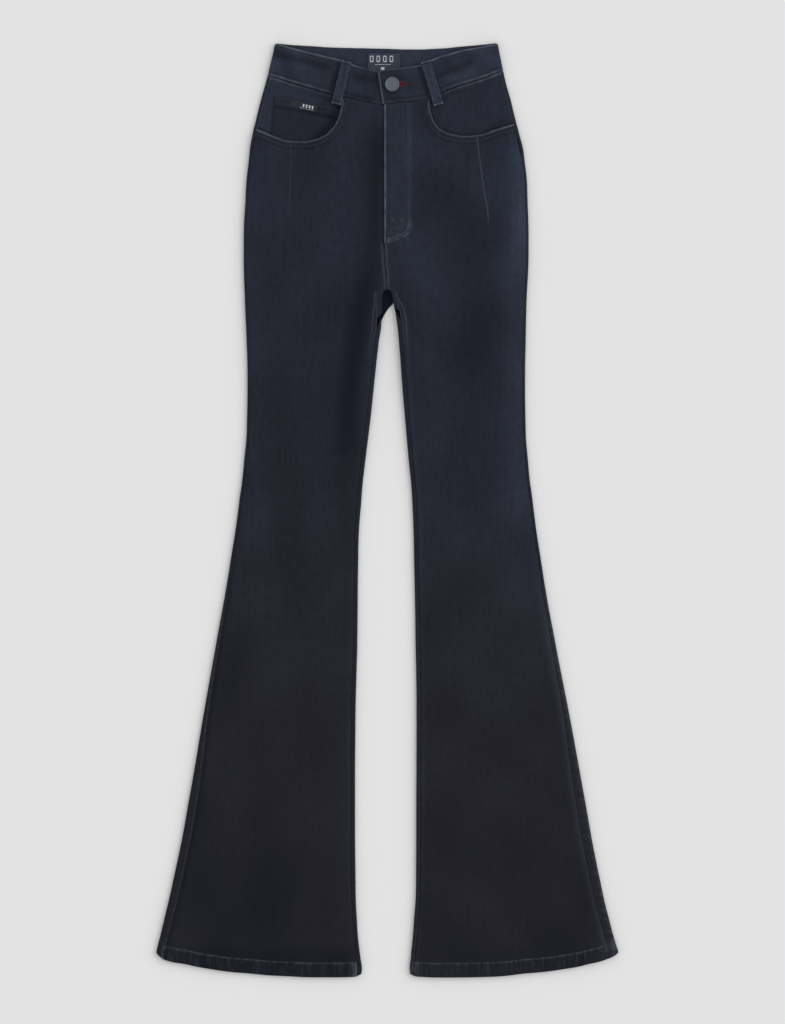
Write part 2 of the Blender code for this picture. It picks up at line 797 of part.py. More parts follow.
def waistband():
    """One band: right end, right side, back, left side and the left end's tab."""
    right_stops = np.concatenate(seam_stops("right"))
    right_stops = np.unique(np.append(right_stops, [-13.0, -BAND_UNDERLAP]))[::-1]
    left_stops = np.concatenate(seam_stops("left"))
    left_stops = np.unique(np.append(left_stops[:-1], [7.0, TAB_END_SEAM]))[::-1]
    outer = []
    for step in np.linspace(0, 1, 4):
        right = band_front("right", right_stops, -BAND_UNDERLAP, step)
        left = band_front("left", left_stops, TAB_END_TOP, step)
        back = band_back(right[0], left[0], step)
        row = right[::-1] + band_fold("right", right[0], back[0])
        row += back + band_fold("left", left[0], back[-1])[::-1] + left
        outer.append(row)
    outer = np.array(outer)
    band = wall("waistband", outer, inward(outer, np.full(outer.shape[:2], BAND_CLOTH)))
    cut = band.modifiers.new("buttonhole", "BOOLEAN")
    cut.object = buttonhole()
    cut.solver = "EXACT"


def buttonhole():
    """Cutter for the tab's keyhole: an eye round the shank and a slit beside it."""
    low = LAY_HIP + SEAM_GAP / 2
    high = LAY_HIP + TAB_LIFT + 2.0
    eye = SHANK_RADIUS + SEAM_GAP
    slit = math.asin(SLIT_WIDTH / 2 / eye)
    outline = [(SLIT_LENGTH, SLIT_WIDTH / 2)]
    for angle in np.linspace(slit, 2 * math.pi - slit, 13):
        outline.append((eye * math.cos(angle), eye * math.sin(angle)))
    outline.append((SLIT_LENGTH, -SLIT_WIDTH / 2))
    count = len(outline)
    points = []
    for height in (low, high):
        for x, y in outline:
            points.append((BUTTON_OUT + x, MIDDLE_DOWN - BUTTON_DOWN + y, height))
    faces = [tuple(range(count)), tuple(range(count, 2 * count))[::-1]]
    for i in range(count):
        j = (i + 1) % count
        faces.append((j, i, count + i, count + j))
    cutter = add_object("buttonhole_cutter", points, faces, LABEL)
    cutter.hide_render = True
    cutter.display_type = "WIRE"
    return cutter


def belt_loop(leg):
    """A strip over the waistband, sewn at both ends and slack between them."""
    top, bottom = np.array(LOOPS[leg])
    along = bottom - top
    across = np.array((along[1], -along[0])) / np.linalg.norm(along)
    outer = []
    for share in np.linspace(0, 1, 11):
        row = []
        for side in (-0.5, 0.0, 0.5):
            out, down = top + along * share + across * LOOP_WIDTH * side
            slack = LOOP_SLACK * math.sin(math.pi * share) ** 2
            base = LAY_HIP + mouth_lift(leg, out, down)
            height = base + SEAM_GAP + LOOP_CLOTH + slack
            row.append(place(leg, out, down, height))
        outer.append(row)
    wall("belt_loop_" + leg, outer, sunk(outer, LOOP_CLOTH))


def waist_label():
    """Woven label on the inside of the band's back."""
    outer = []
    for down in np.linspace(*WAIST_LABEL_DOWN, 3):
        row = []
        for x in np.linspace(*WAIST_LABEL_X, 5):
            row.append((x, MIDDLE_DOWN - down, BAND_CLOTH + SEAM_GAP + TRIM_CLOTH))
        outer.append(row)
    wall("waist_label", outer, sunk(outer, TRIM_CLOTH), LABEL)


# ---------------------------------------------------------------- button
def button():
    """Tack button: a cap with a rolled rim on a shank that goes through the tab."""
    seat = LAY_HIP + TAB_LIFT + SEAM_GAP
    foot = LAY_HIP + SEAM_GAP
    top = seat + BUTTON_HEIGHT
    rings = [(BUTTON_RADIUS * share, top + drop) for share, drop in BUTTON_FORM]
    rings += [(SHANK_RADIUS, seat + 0.5), (SHANK_RADIUS, foot)]
    points = []
    faces = []
    for radius, height in rings:
        for i in range(BUTTON_SIDES):
            angle = 2 * math.pi * i / BUTTON_SIDES
            x = BUTTON_OUT + radius * math.cos(angle)
            y = MIDDLE_DOWN - BUTTON_DOWN + radius * math.sin(angle)
            points.append((x, y, height))
    for ring in range(len(rings) - 1):
        for i in range(BUTTON_SIDES):
            j = (i + 1) % BUTTON_SIDES
            a = ring * BUTTON_SIDES + i
            b = ring * BUTTON_SIDES + j
            faces.append((a, b, b + BUTTON_SIDES, a + BUTTON_SIDES))
    last = (len(rings) - 1) * BUTTON_SIDES
    centre = len(points)
    for height in (rings[0][1] + 0.1, foot):
        points.append((BUTTON_OUT, MIDDLE_DOWN - BUTTON_DOWN, height))
    for i in range(BUTTON_SIDES):
        j = (i + 1) % BUTTON_SIDES
        faces.append((i, centre, j))
        faces.append((last + i, last + j, centre + 1))
    add_object("button", points, faces, METAL, 0.45, 0.9)


def main():
    for old in list(bpy.data.objects):
        bpy.data.objects.remove(old, do_unlink=True)
    for leg in ("right", "left"):
        front_panel(leg)
        back_panel(leg)
        pocket_facing(leg)
        belt_loop(leg)
    coin_pocket()
    coin_pocket_label()
    waistband()
    waist_label()
    button()


main()
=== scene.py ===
import math

import bpy
import numpy as np
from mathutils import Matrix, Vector
from mathutils.kdtree import KDTree


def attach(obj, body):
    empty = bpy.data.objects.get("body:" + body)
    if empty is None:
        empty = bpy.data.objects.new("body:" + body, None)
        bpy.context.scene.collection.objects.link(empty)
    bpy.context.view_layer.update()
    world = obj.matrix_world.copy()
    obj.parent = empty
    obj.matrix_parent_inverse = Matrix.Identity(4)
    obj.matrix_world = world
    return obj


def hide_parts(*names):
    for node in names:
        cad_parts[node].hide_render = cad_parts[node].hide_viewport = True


# Bootcut jeans, laid flat. Sizes are millimetres in the garment's own lay-out, as in the
# part: "out" from the centre line to a side seam, "down" from the top of the waist.
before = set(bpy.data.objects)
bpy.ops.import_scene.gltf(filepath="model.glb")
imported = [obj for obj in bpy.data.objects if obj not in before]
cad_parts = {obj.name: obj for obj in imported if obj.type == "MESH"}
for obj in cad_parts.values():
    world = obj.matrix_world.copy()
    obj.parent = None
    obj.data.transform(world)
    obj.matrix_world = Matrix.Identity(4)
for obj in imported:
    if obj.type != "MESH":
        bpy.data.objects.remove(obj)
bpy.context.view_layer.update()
print("frame loaded:", len(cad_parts), "nodes")

view = {
    "middle": (6.9, -2.0),       # point of the floor in the middle of the picture
    "pictureHeight": 1228.8,    # cloth that the picture's height covers
    "clothHeight": 4.0,
    "cameraHeight": 6000.0,
    "sensor": 36.0,
}
light = {
    "sunTilt": 52.0,            # from straight above, towards the wearer's left
    "sunTurn": 12.0,            # and a little towards the waist
    "sunSpread": 55.0,
    "sunStrength": 1.05,
    "roomStrength": 0.76,
    "roomColour": (1.0, 0.985, 0.965),
    "sunColour": (0.985, 0.995, 1.0),
    "floorColour": (0.80, 0.808, 0.818),
}


def makeCamera():
    data = bpy.data.cameras.new("camera")
    camera = bpy.data.objects.new("camera", data)
    bpy.context.scene.collection.objects.link(camera)
    x, y = view["middle"]
    camera.location = (x * 0.001, y * 0.001, view["cameraHeight"] * 0.001)
    data.sensor_width = view["sensor"]
    away = view["cameraHeight"] - view["clothHeight"]
    data.lens = view["sensor"] * away / view["pictureHeight"]
    data.clip_end = 20.0
    bpy.context.scene.camera = camera


def makeLight():
    data = bpy.data.lights.new("window", "SUN")
    data.energy = light["sunStrength"]
    data.angle = math.radians(light["sunSpread"])
    data.color = light["sunColour"]
    sun = bpy.data.objects.new("window", data)
    tilt = math.radians(light["sunTilt"])
    turn = math.radians(light["sunTurn"])
    towards = Vector((math.cos(turn) * math.sin(tilt), math.sin(turn) * math.sin(tilt), math.cos(tilt)))
    sun.rotation_euler = towards.to_track_quat("Z", "Y").to_euler()
    bpy.context.scene.collection.objects.link(sun)
    room = bpy.data.worlds.new("room")
    room.use_nodes = True
    back = room.node_tree.nodes["Background"]
    back.inputs["Color"].default_value = (*light["roomColour"], 1)
    back.inputs["Strength"].default_value = light["roomStrength"]
    bpy.context.scene.world = room
    bpy.context.scene.view_settings.view_transform = "Standard"


# One socket of a shader. Sums and products of sockets add their Math nodes.
class Wire:
    def __init__(self, shade, socket):
        self.shade = shade
        self.socket = socket

    def __add__(self, other):
        return self.shade.maths("ADD", self, other)

    def __sub__(self, other):
        return self.shade.maths("SUBTRACT", self, other)

    def __rsub__(self, other):
        return self.shade.maths("SUBTRACT", other, self)

    def __mul__(self, other):
        return self.shade.maths("MULTIPLY", self, other)

    __radd__ = __add__
    __rmul__ = __mul__


class Shade:
    def __init__(self, name):
        self.material = bpy.data.materials.new(name)
        self.material.use_nodes = True
        self.tree = self.material.node_tree
        self.surface = self.tree.nodes["Principled BSDF"]

    def node(self, kind, settings, sockets, output=0):
        made = self.tree.nodes.new(kind)
        for name, value in settings.items():
            if name == "stops":
                ramp = made.color_ramp.elements
                for place, colour in value[2:]:
                    ramp.new(place)
                for element, (place, colour) in zip(ramp, value):
                    element.position = place
                    element.color = (*colour, 1)
            else:
                setattr(made, name, value)
        for name, value in sockets.items():
            if isinstance(value, Wire):
                self.tree.links.new(value.socket, made.inputs[name])
            else:
                made.inputs[name].default_value = value
        return Wire(self, made.outputs[output])

    def maths(self, operation, first, second=0.0):
        return self.node("ShaderNodeMath", {"operation": operation}, {0: first, 1: second})

    def held(self, value, low, high):
        # 0 below low, 1 above high, soft between
        settings = {"interpolation_type": "SMOOTHSTEP"}
        return self.node("ShaderNodeMapRange", settings, {0: value, 1: low, 2: high})

    def mix(self, share, first, second, kind="MIX"):
        pair = [(*c, 1) if isinstance(c, tuple) else c for c in (first, second)]
        settings = {"data_type": "RGBA", "blend_type": kind}
        return self.node("ShaderNodeMix", settings, {0: share, 6: pair[0], 7: pair[1]}, 2)

    def noise(self, where, scale, detail=2.0, rough=0.5):
        sockets = {"Vector": where, "Scale": scale, "Detail": detail, "Roughness": rough}
        return self.node("ShaderNodeTexNoise", {}, sockets)

    def stretched(self, where, scale, turn=0.0):
        sockets = {"Vector": where, "Scale": scale, "Rotation": (0, 0, turn)}
        return self.node("ShaderNodeMapping", {}, sockets)

    def attribute(self, name):
        return self.node("ShaderNodeAttribute", {"attribute_name": name}, {}, 2)

    def set(self, **values):
        # constants go straight onto the shader's sockets
        for name, value in values.items():
            socket = self.surface.inputs[name.replace("_", " ")]
            if isinstance(value, Wire):
                self.tree.links.new(value.socket, socket)
            elif isinstance(value, tuple) and len(value) == 3 and socket.type == "RGBA":
                socket.default_value = (*value, 1)
            else:
                socket.default_value = value

    def bump(self, height, distance, strength=1.0):
        sockets = {"Height": height, "Distance": distance, "Strength": strength}
        self.set(Normal=self.node("ShaderNodeBump", {}, sockets))


denim = {
    "dark": (0.0074, 0.0096, 0.0176),       # over-dyed warp
    "pale": (0.0136, 0.0170, 0.0286),       # where the dye is thinner
    "lowDark": (0.0080, 0.0087, 0.0142),    # the same lower down the legs, less blue, for the dimmer light painted there
    "lowPale": (0.0132, 0.0141, 0.0212),
    "lowFrom": -0.42,                       # metres below the waist
    "lowTo": -0.85,
    "worn": (0.105, 0.120, 0.150),          # rubbed seams and folded edges, and painted highlights on some edges
    "deep": (0.74, 0.98, 1.42),             # the shift of the deepest tones, which are mostly painted shade
    "deepFrom": -0.2,
    "deepTo": -1.7,
    "toneGain": 0.9,
    "ropeWear": 0.17,                       # pale streaks of a twisted hem
    "twillPitch": 0.00075,                  # metres between the diagonal ribs
    "twillTurn": math.radians(62),
    "ribHeight": 0.00009,
    "yarn": (1500.0, 260.0, 1.0),           # patterns to the metre, across and along the cloth
    "slub": (420.0, 11.0, 1.0),
    "mottle": (150.0, 95.0, 1.0),
    "cloud": (16.0, 9.0, 1.0),
    "fleck": (900.0, 900.0, 1.0),
    "streak": (300.0, 42.0, 1.0),
}


def denimCloth(name):
    made = Shade(name)
    cloth = made.node("ShaderNodeUVMap", {"uv_map": "cloth"}, {})

    def pattern(kind, detail, rough=0.5):
        return made.noise(made.stretched(cloth, denim[kind]), 1.0, detail, rough)

    ribs = made.stretched(cloth, (1 / denim["twillPitch"],) * 3, denim["twillTurn"])
    waves = {"wave_type": "BANDS", "bands_direction": "X", "wave_profile": "SIN"}
    sockets = {"Vector": ribs, "Scale": 0.314, "Distortion": 0.6, "Detail": 1.0, "Detail Scale": 0.6}
    twill = made.node("ShaderNodeTexWave", waves, sockets, 1)
    yarn = pattern("yarn", 2.0)
    slub = pattern("slub", 3.0, 0.55)
    # wear also carries painted highlights, and tone carries painted light and shade besides the cloth's
    # own lighter and darker parts
    wear = made.attribute("wear")
    tone = made.attribute("tone")
    thin = slub * 0.34 + pattern("cloud", 3.0) * 0.26 + pattern("mottle", 3.0, 0.7) * 0.40
    alongLeg = made.node("ShaderNodeSeparateXYZ", {}, {0: cloth}, 1)
    below = made.held(alongLeg, denim["lowFrom"], denim["lowTo"])
    dark = made.mix(below, denim["dark"], denim["lowDark"])
    pale = made.mix(below, denim["pale"], denim["lowPale"])
    gain = made.maths("POWER", 2.0, tone * denim["toneGain"])
    ground = made.mix(1.0, made.mix(made.held(thin, 0.33, 0.69), dark, pale), gain, "MULTIPLY")
    deep = made.held(tone, denim["deepFrom"], denim["deepTo"])
    ground = made.mix(deep, ground, denim["deep"], "MULTIPLY")
    roped = made.attribute("rope") * made.held(pattern("streak", 2.0, 0.6), 0.40, 0.66)
    broken = (wear + roped * denim["ropeWear"]) * (0.55 + pattern("fleck", 1.0) * 0.5 + yarn * 0.35)
    colour = made.mix(made.held(broken, 0.06, 1.0), ground, denim["worn"])
    made.set(Base_Color=colour, Roughness=0.72 + slub * 0.14, Specular_IOR_Level=0.16)
    made.set(Sheen_Weight=0.10, Sheen_Roughness=0.45, Sheen_Tint=(0.62, 0.70, 0.86))
    made.bump(twill * 0.6 + yarn * 0.5 + slub * 0.6 + roped * 2.0, denim["ribHeight"])
    return made.material


def threadFinish(name, colour, dark):
    made = Shade(name)
    place = made.node("ShaderNodeTexCoord", {}, {}, 3)
    twist = made.noise(made.stretched(place, (900.0, 900.0, 900.0)), 1.0, 2.0)
    made.set(Base_Color=made.mix(twist, dark, colour), Roughness=0.45 + twist * 0.2)
    made.set(Specular_IOR_Level=0.12)
    made.bump(twist, 0.00005)
    return made.material


# The lay-out has the same sizes as the part.
cloth = 1.2
bandCloth = 2.2
hemCloth = 2.0
hemDepth = 18.0
hemStep = 0.4
trimCloth = 1.0
loopCloth = 1.5
seamGap = 0.3
sewnGap = 0.04               # where two backs meet under the crotch
length = 1122.0
middleDown = 561.4
layHip = 6.0
straightDown = 141.0
archDown = 296.0
forkDown = 313.0
forkEnd = 334.0
inseamTurn = 5.0
backSeamDown = 46.5
sideSeamDown = {"right": 39.8, "left": 33.4}
sign = {"right": -1.0, "left": 1.0}
fly = {
    "end": 237.0,
    "lift": 1.5,
    "full": 23.0,
    "out": 41.0,
    "fade": 18.0,
    "underlay": 6.0,
    "underlayFade": 16.0,
}
tab = {
    "lift": 2.5,
    "from": 27.0,
    "to": 40.0,
    "underlap": 24.0,
    "endSeam": -5.1,
    "endTop": -11.2,
}
crotchRise = {"full": 12.0, "gone": 75.0}    # distance from the inner edge
mouthLiftOf = {"right": 1.5, "left": 0.5}


def smoothCurve(knots, values, at):
    # monotone cubic through the knots, level outside them
    step = np.diff(knots)
    rise = np.diff(values) / step
    slope = np.concatenate([rise[:1], np.zeros(len(step) - 1), rise[-1:]])
    for i in range(1, len(step)):
        if rise[i - 1] * rise[i] > 0:
            before = 2 * step[i] + step[i - 1]
            after = step[i] + 2 * step[i - 1]
            slope[i] = (before + after) / (before / rise[i - 1] + after / rise[i])
    at = np.clip(at, knots[0], knots[-1])
    i = np.clip(np.searchsorted(knots, at) - 1, 0, len(step) - 1)
    t = (at - knots[i]) / step[i]
    start = values[i] + t * step[i] * slope[i]
    end = values[i + 1] - (1 - t) * step[i] * slope[i + 1]
    blend = t * t * (3 - 2 * t)
    return start * (1 - blend) + end * blend


class SizeTable:
    def __init__(self, names, *rows):
        self.columns = dict(zip(names.split(), np.array(rows, float).T))
        self.at = np.array(rows, float)[:, 0]

    def read(self, name, at):
        return smoothCurve(self.at, self.columns[name], np.asarray(at, float))


sideSizes = SizeTable(
    "down right left",
    (0, 133.7, 133.0), (20, 138.7, 137.7), (38, 142.6, 140.7), (69, 151.0, 148.8),
    (98, 158.2, 155.9), (108, 160.7, 158.6), (141, 165.6, 165.4), (189, 169.6, 169.0),
    (249, 171.7, 170.3), (309, 170.3, 167.9), (357, 168.3, 166.9), (405, 167.2, 166.1),
    (453, 167.8, 166.6), (501, 171.1, 169.5), (549, 176.8, 175.0), (621, 187.3, 185.1),
    (717, 204.0, 201.8), (813, 221.0, 220.4), (909, 237.4, 237.9), (1005, 256.2, 256.0),
    (1053, 267.3, 267.1), (1093, 276.8, 278.2),
)
innerSizes = SizeTable(
    "down right left",
    (0, 3.2, -3.2), (240, 3.2, -3.2), (285, 0.4, -0.4), (296, 0.0, 0.0), (298.5, 2.9, 4.3),
    (302, 5.1, 6.1), (313, 6.1, 8.1), (334, 6.3, 11.9), (357, 9.2, 14.4), (405, 14.5, 18.0),
    (453, 19.6, 22.1), (501, 25.5, 26.3), (549, 30.4, 30.5), (621, 34.2, 32.8), (717, 35.2, 34.5),
    (813, 37.5, 35.7), (909, 38.0, 35.4), (1005, 37.4, 35.1), (1053, 35.8, 32.7),
    (1101, 31.2, 28.5), (1111, 30.1, 27.7), (1122, 31.3, 29.2),
)
backSeamSizes = SizeTable("down x", (0, 0.0), (285, 0.0), (300, 3.9), (313, 7.7))
forkSizes = SizeTable("down right left", (313, -7.7, 7.7), (323, 0.5, 10.1), (334, 6.3, 11.9))
forkTurnSizes = SizeTable(
    "down right left",
    (312, 0, 0), (320, 25, 90), (328, 90, 150), (336, 150, 180), (346, 180, 180),
)
frontWaistSizes = SizeTable(
    "out rightSeam rightTop leftSeam leftTop",
    (-26, 75.6, 38.5, 75.8, 38.0), (-10, 75.2, 38.0, 74.6, 34.9), (0, 74.7, 36.5, 73.7, 32.6),
    (20, 72.4, 32.0, 71.4, 30.1), (40, 67.9, 26.7, 69.2, 26.9), (55, 64.6, 21.0, 64.2, 19.9),
    (75, 59.6, 16.1, 55.9, 13.5), (95, 53.6, 11.2, 49.2, 8.3), (115, 48.0, 6.2, 42.8, 4.8),
    (132, 42.6, 1.9, 36.5, 1.6), (143, 39.6, 0.8, 32.6, 0.4),
)
backWaistSizes = SizeTable(
    "out rightTop leftTop",
    (0, 7.3, 7.3), (30, 6.6, 8.1), (60, 5.9, 7.2), (90, 4.1, 4.5), (120, 2.1, 1.8),
    (143, -0.9, -1.4),
)
mouthSizes = SizeTable(
    "share rightOut rightDown leftOut leftDown",
    (0.00, 157.3, 103.6, 154.6, 96.9), (0.08, 147.4, 107.2, 143.1, 100.4),
    (0.21, 130.0, 114.2, 126.2, 105.7), (0.31, 116.0, 118.0, 109.8, 110.7),
    (0.41, 101.2, 118.5, 94.0, 112.0), (0.50, 89.1, 116.8, 80.7, 110.2),
    (0.58, 78.7, 113.3, 69.6, 106.7), (0.68, 67.3, 104.5, 60.3, 99.4),
    (0.78, 59.6, 92.7, 54.8, 89.4), (0.88, 55.6, 79.8, 52.2, 79.2), (1.00, 52.8, 65.9, 51.0, 66.7),
)
hemRiseSizes = SizeTable(
    "across right left",
    (0.00, 30.0, 30.0), (0.02, 24.6, 26.0), (0.05, 20.4, 22.4), (0.14, 16.1, 16.2),
    (0.25, 10.6, 10.5), (0.45, 4.9, 4.7), (0.65, 1.4, 0.6), (0.80, 0.2, 0.0), (0.96, 0.6, 0.8),
    (1.00, 4.0, 3.6),
)
laySizes = SizeTable("down height", (0, 6.0), (300, 6.0), (540, 5.0), (900, 5.2), (1122, 5.8))
sideTurnSizes = SizeTable(
    "down width",
    (0, 3.2), (520, 3.2), (717, 4.8), (813, 7.0), (861, 9.4), (957, 11.4), (1041, 11.0), (1122, 9.8),
)
crotchRiseSizes = SizeTable("down height", (150, 0), (290, 2.4), (350, 2.6), (450, 1.2), (560, 0))
foldColumns = "leg outFrom downFrom outTo downTo halfWidth height"
folds = (
    ("right", 15, 85, 18, 285, 9, -0.8),
    ("right", 25, 290, 45, 520, 11, -1.0),
    ("right", 120, 150, 112, 330, 26, 0.5),
    ("right", 96, 560, 128, 980, 24, -0.5),
    ("left", 34, 110, 30, 280, 10, -0.5),
    ("left", 26, 330, 48, 520, 10, -0.5),
    ("left", 136, 170, 150, 480, 12, 0.6),
    ("left", 88, 600, 120, 1000, 26, -0.5),
)


def ramp(value, start, end):
    t = np.clip((np.asarray(value, float) - start) / (end - start), 0, 1)
    return t * t * (3 - 2 * t)


def bell(distance, halfWidth):
    return np.exp(-(np.asarray(distance, float) / halfWidth) ** 2)


def strongest(marks):
    return np.maximum.reduce(np.broadcast_arrays(*marks))


def lengthsAlong(points, axis=0):
    # how far each place lies along its path, or along its row or column of a grid
    steps = np.linalg.norm(np.diff(points, axis=axis), axis=-1)
    start = np.zeros_like(np.take(steps, [0], axis=axis))
    return np.concatenate([start, np.cumsum(steps, axis=axis)], axis=axis)


# Waves and hills are uneven, and the same each run.
def unevenWave(at, pitch, seed):
    # a wave of about that pitch whose crests are never alike, within -1 and 1
    draw = np.random.default_rng(seed)
    total = 0.0
    for share, weight in ((1.0, 0.5), (0.63, 0.3), (1.71, 0.2)):
        wave = pitch / share
        bend = draw.uniform(4, 7) * pitch
        phase = draw.uniform(0, 2 * math.pi, 2)
        drift = 0.9 * np.sin(2 * math.pi * at / bend + phase[1])
        total = total + weight * np.sin(2 * math.pi * at / wave + phase[0] + drift)
    return total


def softHills(x, y, size, seed, waves=9):
    draw = np.random.default_rng(seed)
    total = 0.0
    for _ in range(waves):
        turn = draw.uniform(0, math.pi)
        wave = size * draw.uniform(0.7, 1.8)
        phase = draw.uniform(0, 2 * math.pi)
        along = x * math.cos(turn) + y * math.sin(turn)
        total = total + np.sin(2 * math.pi * along / wave + phase)
    return total / math.sqrt(waves)


def frontInner(leg, down):
    return innerSizes.read(leg, down) + np.where(np.asarray(down) <= archDown, seamGap / 2, 0.0)


def backInner(leg, down):
    down = np.asarray(down, float)
    seam = sign[leg] * backSeamSizes.read("x", down) + sewnGap / 2
    fork = forkSizes.read(leg, down)
    legEdge = innerSizes.read(leg, down)
    return np.where(down <= forkDown, seam, np.where(down <= forkEnd, fork, legEdge))


def sideEdge(leg, down):
    return sideSizes.read(leg, down)


def sideSeam(leg, down):
    return sideEdge(leg, down) - sideTurnSizes.read("width", down)


def sideGap(down):
    # the seam is pressed shut above the knee
    return 0.1 + 0.2 * ramp(down, 420, 600)


def hemLine(leg, across, station):
    share = np.clip((station - straightDown) / (length - straightDown), 0, 1)
    return station - hemRiseSizes.read(leg, across) * share


def bandFoldOut(leg):
    return float(sideEdge(leg, sideSeamDown[leg])) - layHip / 2


def frontSeamDown(leg, out):
    return frontWaistSizes.read(leg + "Seam", np.minimum(out, bandFoldOut(leg)))


def backSeamLine(leg, out):
    end = bandFoldOut(leg)
    side = frontSeamDown(leg, end)
    return backSeamDown - (backSeamDown - side) * np.minimum(np.abs(out) / end, 1.0) ** 2


def frontInnerEdge(leg, down):
    edge = frontInner(leg, down)
    if leg == "right":
        edge = edge - fly["underlay"] * ramp(down, fly["end"], fly["end"] - fly["underlayFade"])
    return edge + (inseamTurn + seamGap) * ramp(forkTurnSizes.read(leg, down), 60, 120)


def foldRelief(leg, out, down):
    total = 0.0
    for row in folds:
        fold = dict(zip(foldColumns.split(), row))
        if fold["leg"] != leg:
            continue
        share = (down - fold["downFrom"]) / (fold["downTo"] - fold["downFrom"])
        middle = fold["outFrom"] + share * (fold["outTo"] - fold["outFrom"])
        along = ramp(share, -0.15, 0.25) * ramp(share, 1.15, 0.75)
        total = total + fold["height"] * along * bell(out - middle, fold["halfWidth"])
    return total


def lineDistance(points, out, down):
    # distance of places of the lay-out from a line of points
    out = np.asarray(out, float)
    best = np.full(out.shape, 1e9)
    for (ax, ay), (bx, by) in zip(points[:-1], points[1:]):
        dx, dy = bx - ax, by - ay
        t = np.clip(((out - ax) * dx + (down - ay) * dy) / (dx * dx + dy * dy), 0, 1)
        best = np.minimum(best, np.hypot(out - ax - t * dx, down - ay - t * dy))
    return best


def mouthLine(leg):
    share = np.linspace(0, 1, 41)
    return list(zip(mouthSizes.read(leg + "Out", share), mouthSizes.read(leg + "Down", share)))


def mouthLift(leg, out, down):
    below = ramp(down - frontSeamDown(leg, out), 0, 13)
    fromSide = ramp(sideEdge(leg, down) - out, 3, 24)
    near = ramp(lineDistance(mouthLine(leg), out, down), 34, 4)
    return mouthLiftOf[leg] * below * fromSide * near


def flyLift(out, down):
    above = ramp(down, fly["end"] + fly["fade"], fly["end"])
    return fly["lift"] * ramp(out, fly["out"], fly["full"]) * above


def frontBase(leg, out, down):
    # the part's own height of the front
    fromSide = ramp(sideEdge(leg, down) - out, 4, 20)
    fromInner = ramp(out - innerSizes.read(leg, down), 3, 14)
    height = laySizes.read("height", down) + foldRelief(leg, out, down) * fromSide * fromInner
    near = ramp(out - innerSizes.read(leg, down), crotchRise["gone"], crotchRise["full"])
    height = height + crotchRiseSizes.read("height", down) * near + mouthLift(leg, out, down)
    if leg == "left":
        height = height + flyLift(out, down)
    return height


def facingBase(leg, out, down):
    sag = 0.35 * ramp(down, 60, 90) * ramp(sideEdge(leg, down) - out, 4, 26)
    return laySizes.read("height", down) - cloth - seamGap - sag


def place(leg, out, down, height):
    out, down, height = np.broadcast_arrays(sign[leg] * np.asarray(out, float), down, height)
    return np.stack([out, middleDown - down, height], axis=-1)


downward = np.array((0.0, 0.0, -1.0))


def nearestBorder(points, border):
    # distance of each point of a grid from the sheet's own border
    tree = KDTree(len(border))
    for i, point in enumerate(border):
        tree.insert(point, i)
    tree.balance()
    flat = points.reshape(-1, 3)
    nearest = np.array([tree.find(point)[1] for point in flat])
    best = np.full(len(flat), 1e9)
    for side in (-1, 1):
        a = border[nearest]
        d = border[(nearest + side) % len(border)] - a
        t = np.clip(((flat - a) * d).sum(1) / np.maximum((d * d).sum(1), 1e-12), 0, 1)
        best = np.minimum(best, np.linalg.norm(flat - a - t[:, None] * d, axis=1))
    return best.reshape(points.shape[:2])


def borderOf(grid):
    return np.concatenate([grid[0], grid[1:, -1], grid[-1, -2::-1], grid[-2:0:-1, 0]])


def clothWall(name, outer, thickness, uv, inward=downward, rounding=0.7, relief=0.0, **looks):
    # A closed wall with rounded edges: its outer sheet, its thickness and the way into the cloth.
    # Looks are wear and painted highlights, tone with painted light and shade, and rope of the outer
    # sheet, and painted light and shade of the other.
    rows, columns = outer.shape[:2]
    inward = np.broadcast_to(inward, outer.shape)
    edge = nearestBorder(outer, borderOf(outer))
    rise = np.clip(edge / rounding, 0, 1)
    kept = np.sqrt(1 - (1 - rise) ** 2)[..., None]
    thickness = np.broadcast_to(thickness, outer.shape[:2])[..., None]
    relief = np.broadcast_to(relief, outer.shape[:2])[..., None]
    middle = outer + inward * thickness / 2
    top = middle - inward * (thickness / 2 * kept + relief * kept)
    low = middle + inward * thickness / 2 * kept
    first = np.arange(rows * columns).reshape(rows, columns)
    second = first.copy()
    inside = np.zeros((rows, columns), bool)
    inside[1:-1, 1:-1] = True
    second[inside] = rows * columns + np.arange(inside.sum())
    points = np.concatenate([top.reshape(-1, 3), low[inside]])
    a, b = first[:-1, :-1].ravel(), first[:-1, 1:].ravel()
    c, d = first[1:, 1:].ravel(), first[1:, :-1].ravel()
    faces = np.stack([a, d, c, b], axis=1)
    e, f = second[:-1, :-1].ravel(), second[:-1, 1:].ravel()
    g, h = second[1:, 1:].ravel(), second[1:, :-1].ravel()
    under = np.stack([e, f, g, h], axis=1)
    mid = rows // 2, columns // 2
    across = np.cross(top[mid[0] + 1, mid[1]] - top[mid], top[mid[0], mid[1] + 1] - top[mid])
    if np.dot(across, inward[mid]) > 0:
        faces, under = faces[:, ::-1], under[:, ::-1]
    fields = {}
    for look, innerLook in (("wear", 0.0), ("tone", looks.get("innerTone", 0.0)), ("rope", 0.0)):
        outerLook = np.broadcast_to(looks.get(look, 0.0), (rows, columns)).ravel()
        fields[look] = np.concatenate([outerLook, np.full(inside.sum(), innerLook)])
    uv = np.concatenate([uv.reshape(-1, 2), uv[inside]])
    return meshPiece(name, points, np.concatenate([faces, under]), uv, **fields)


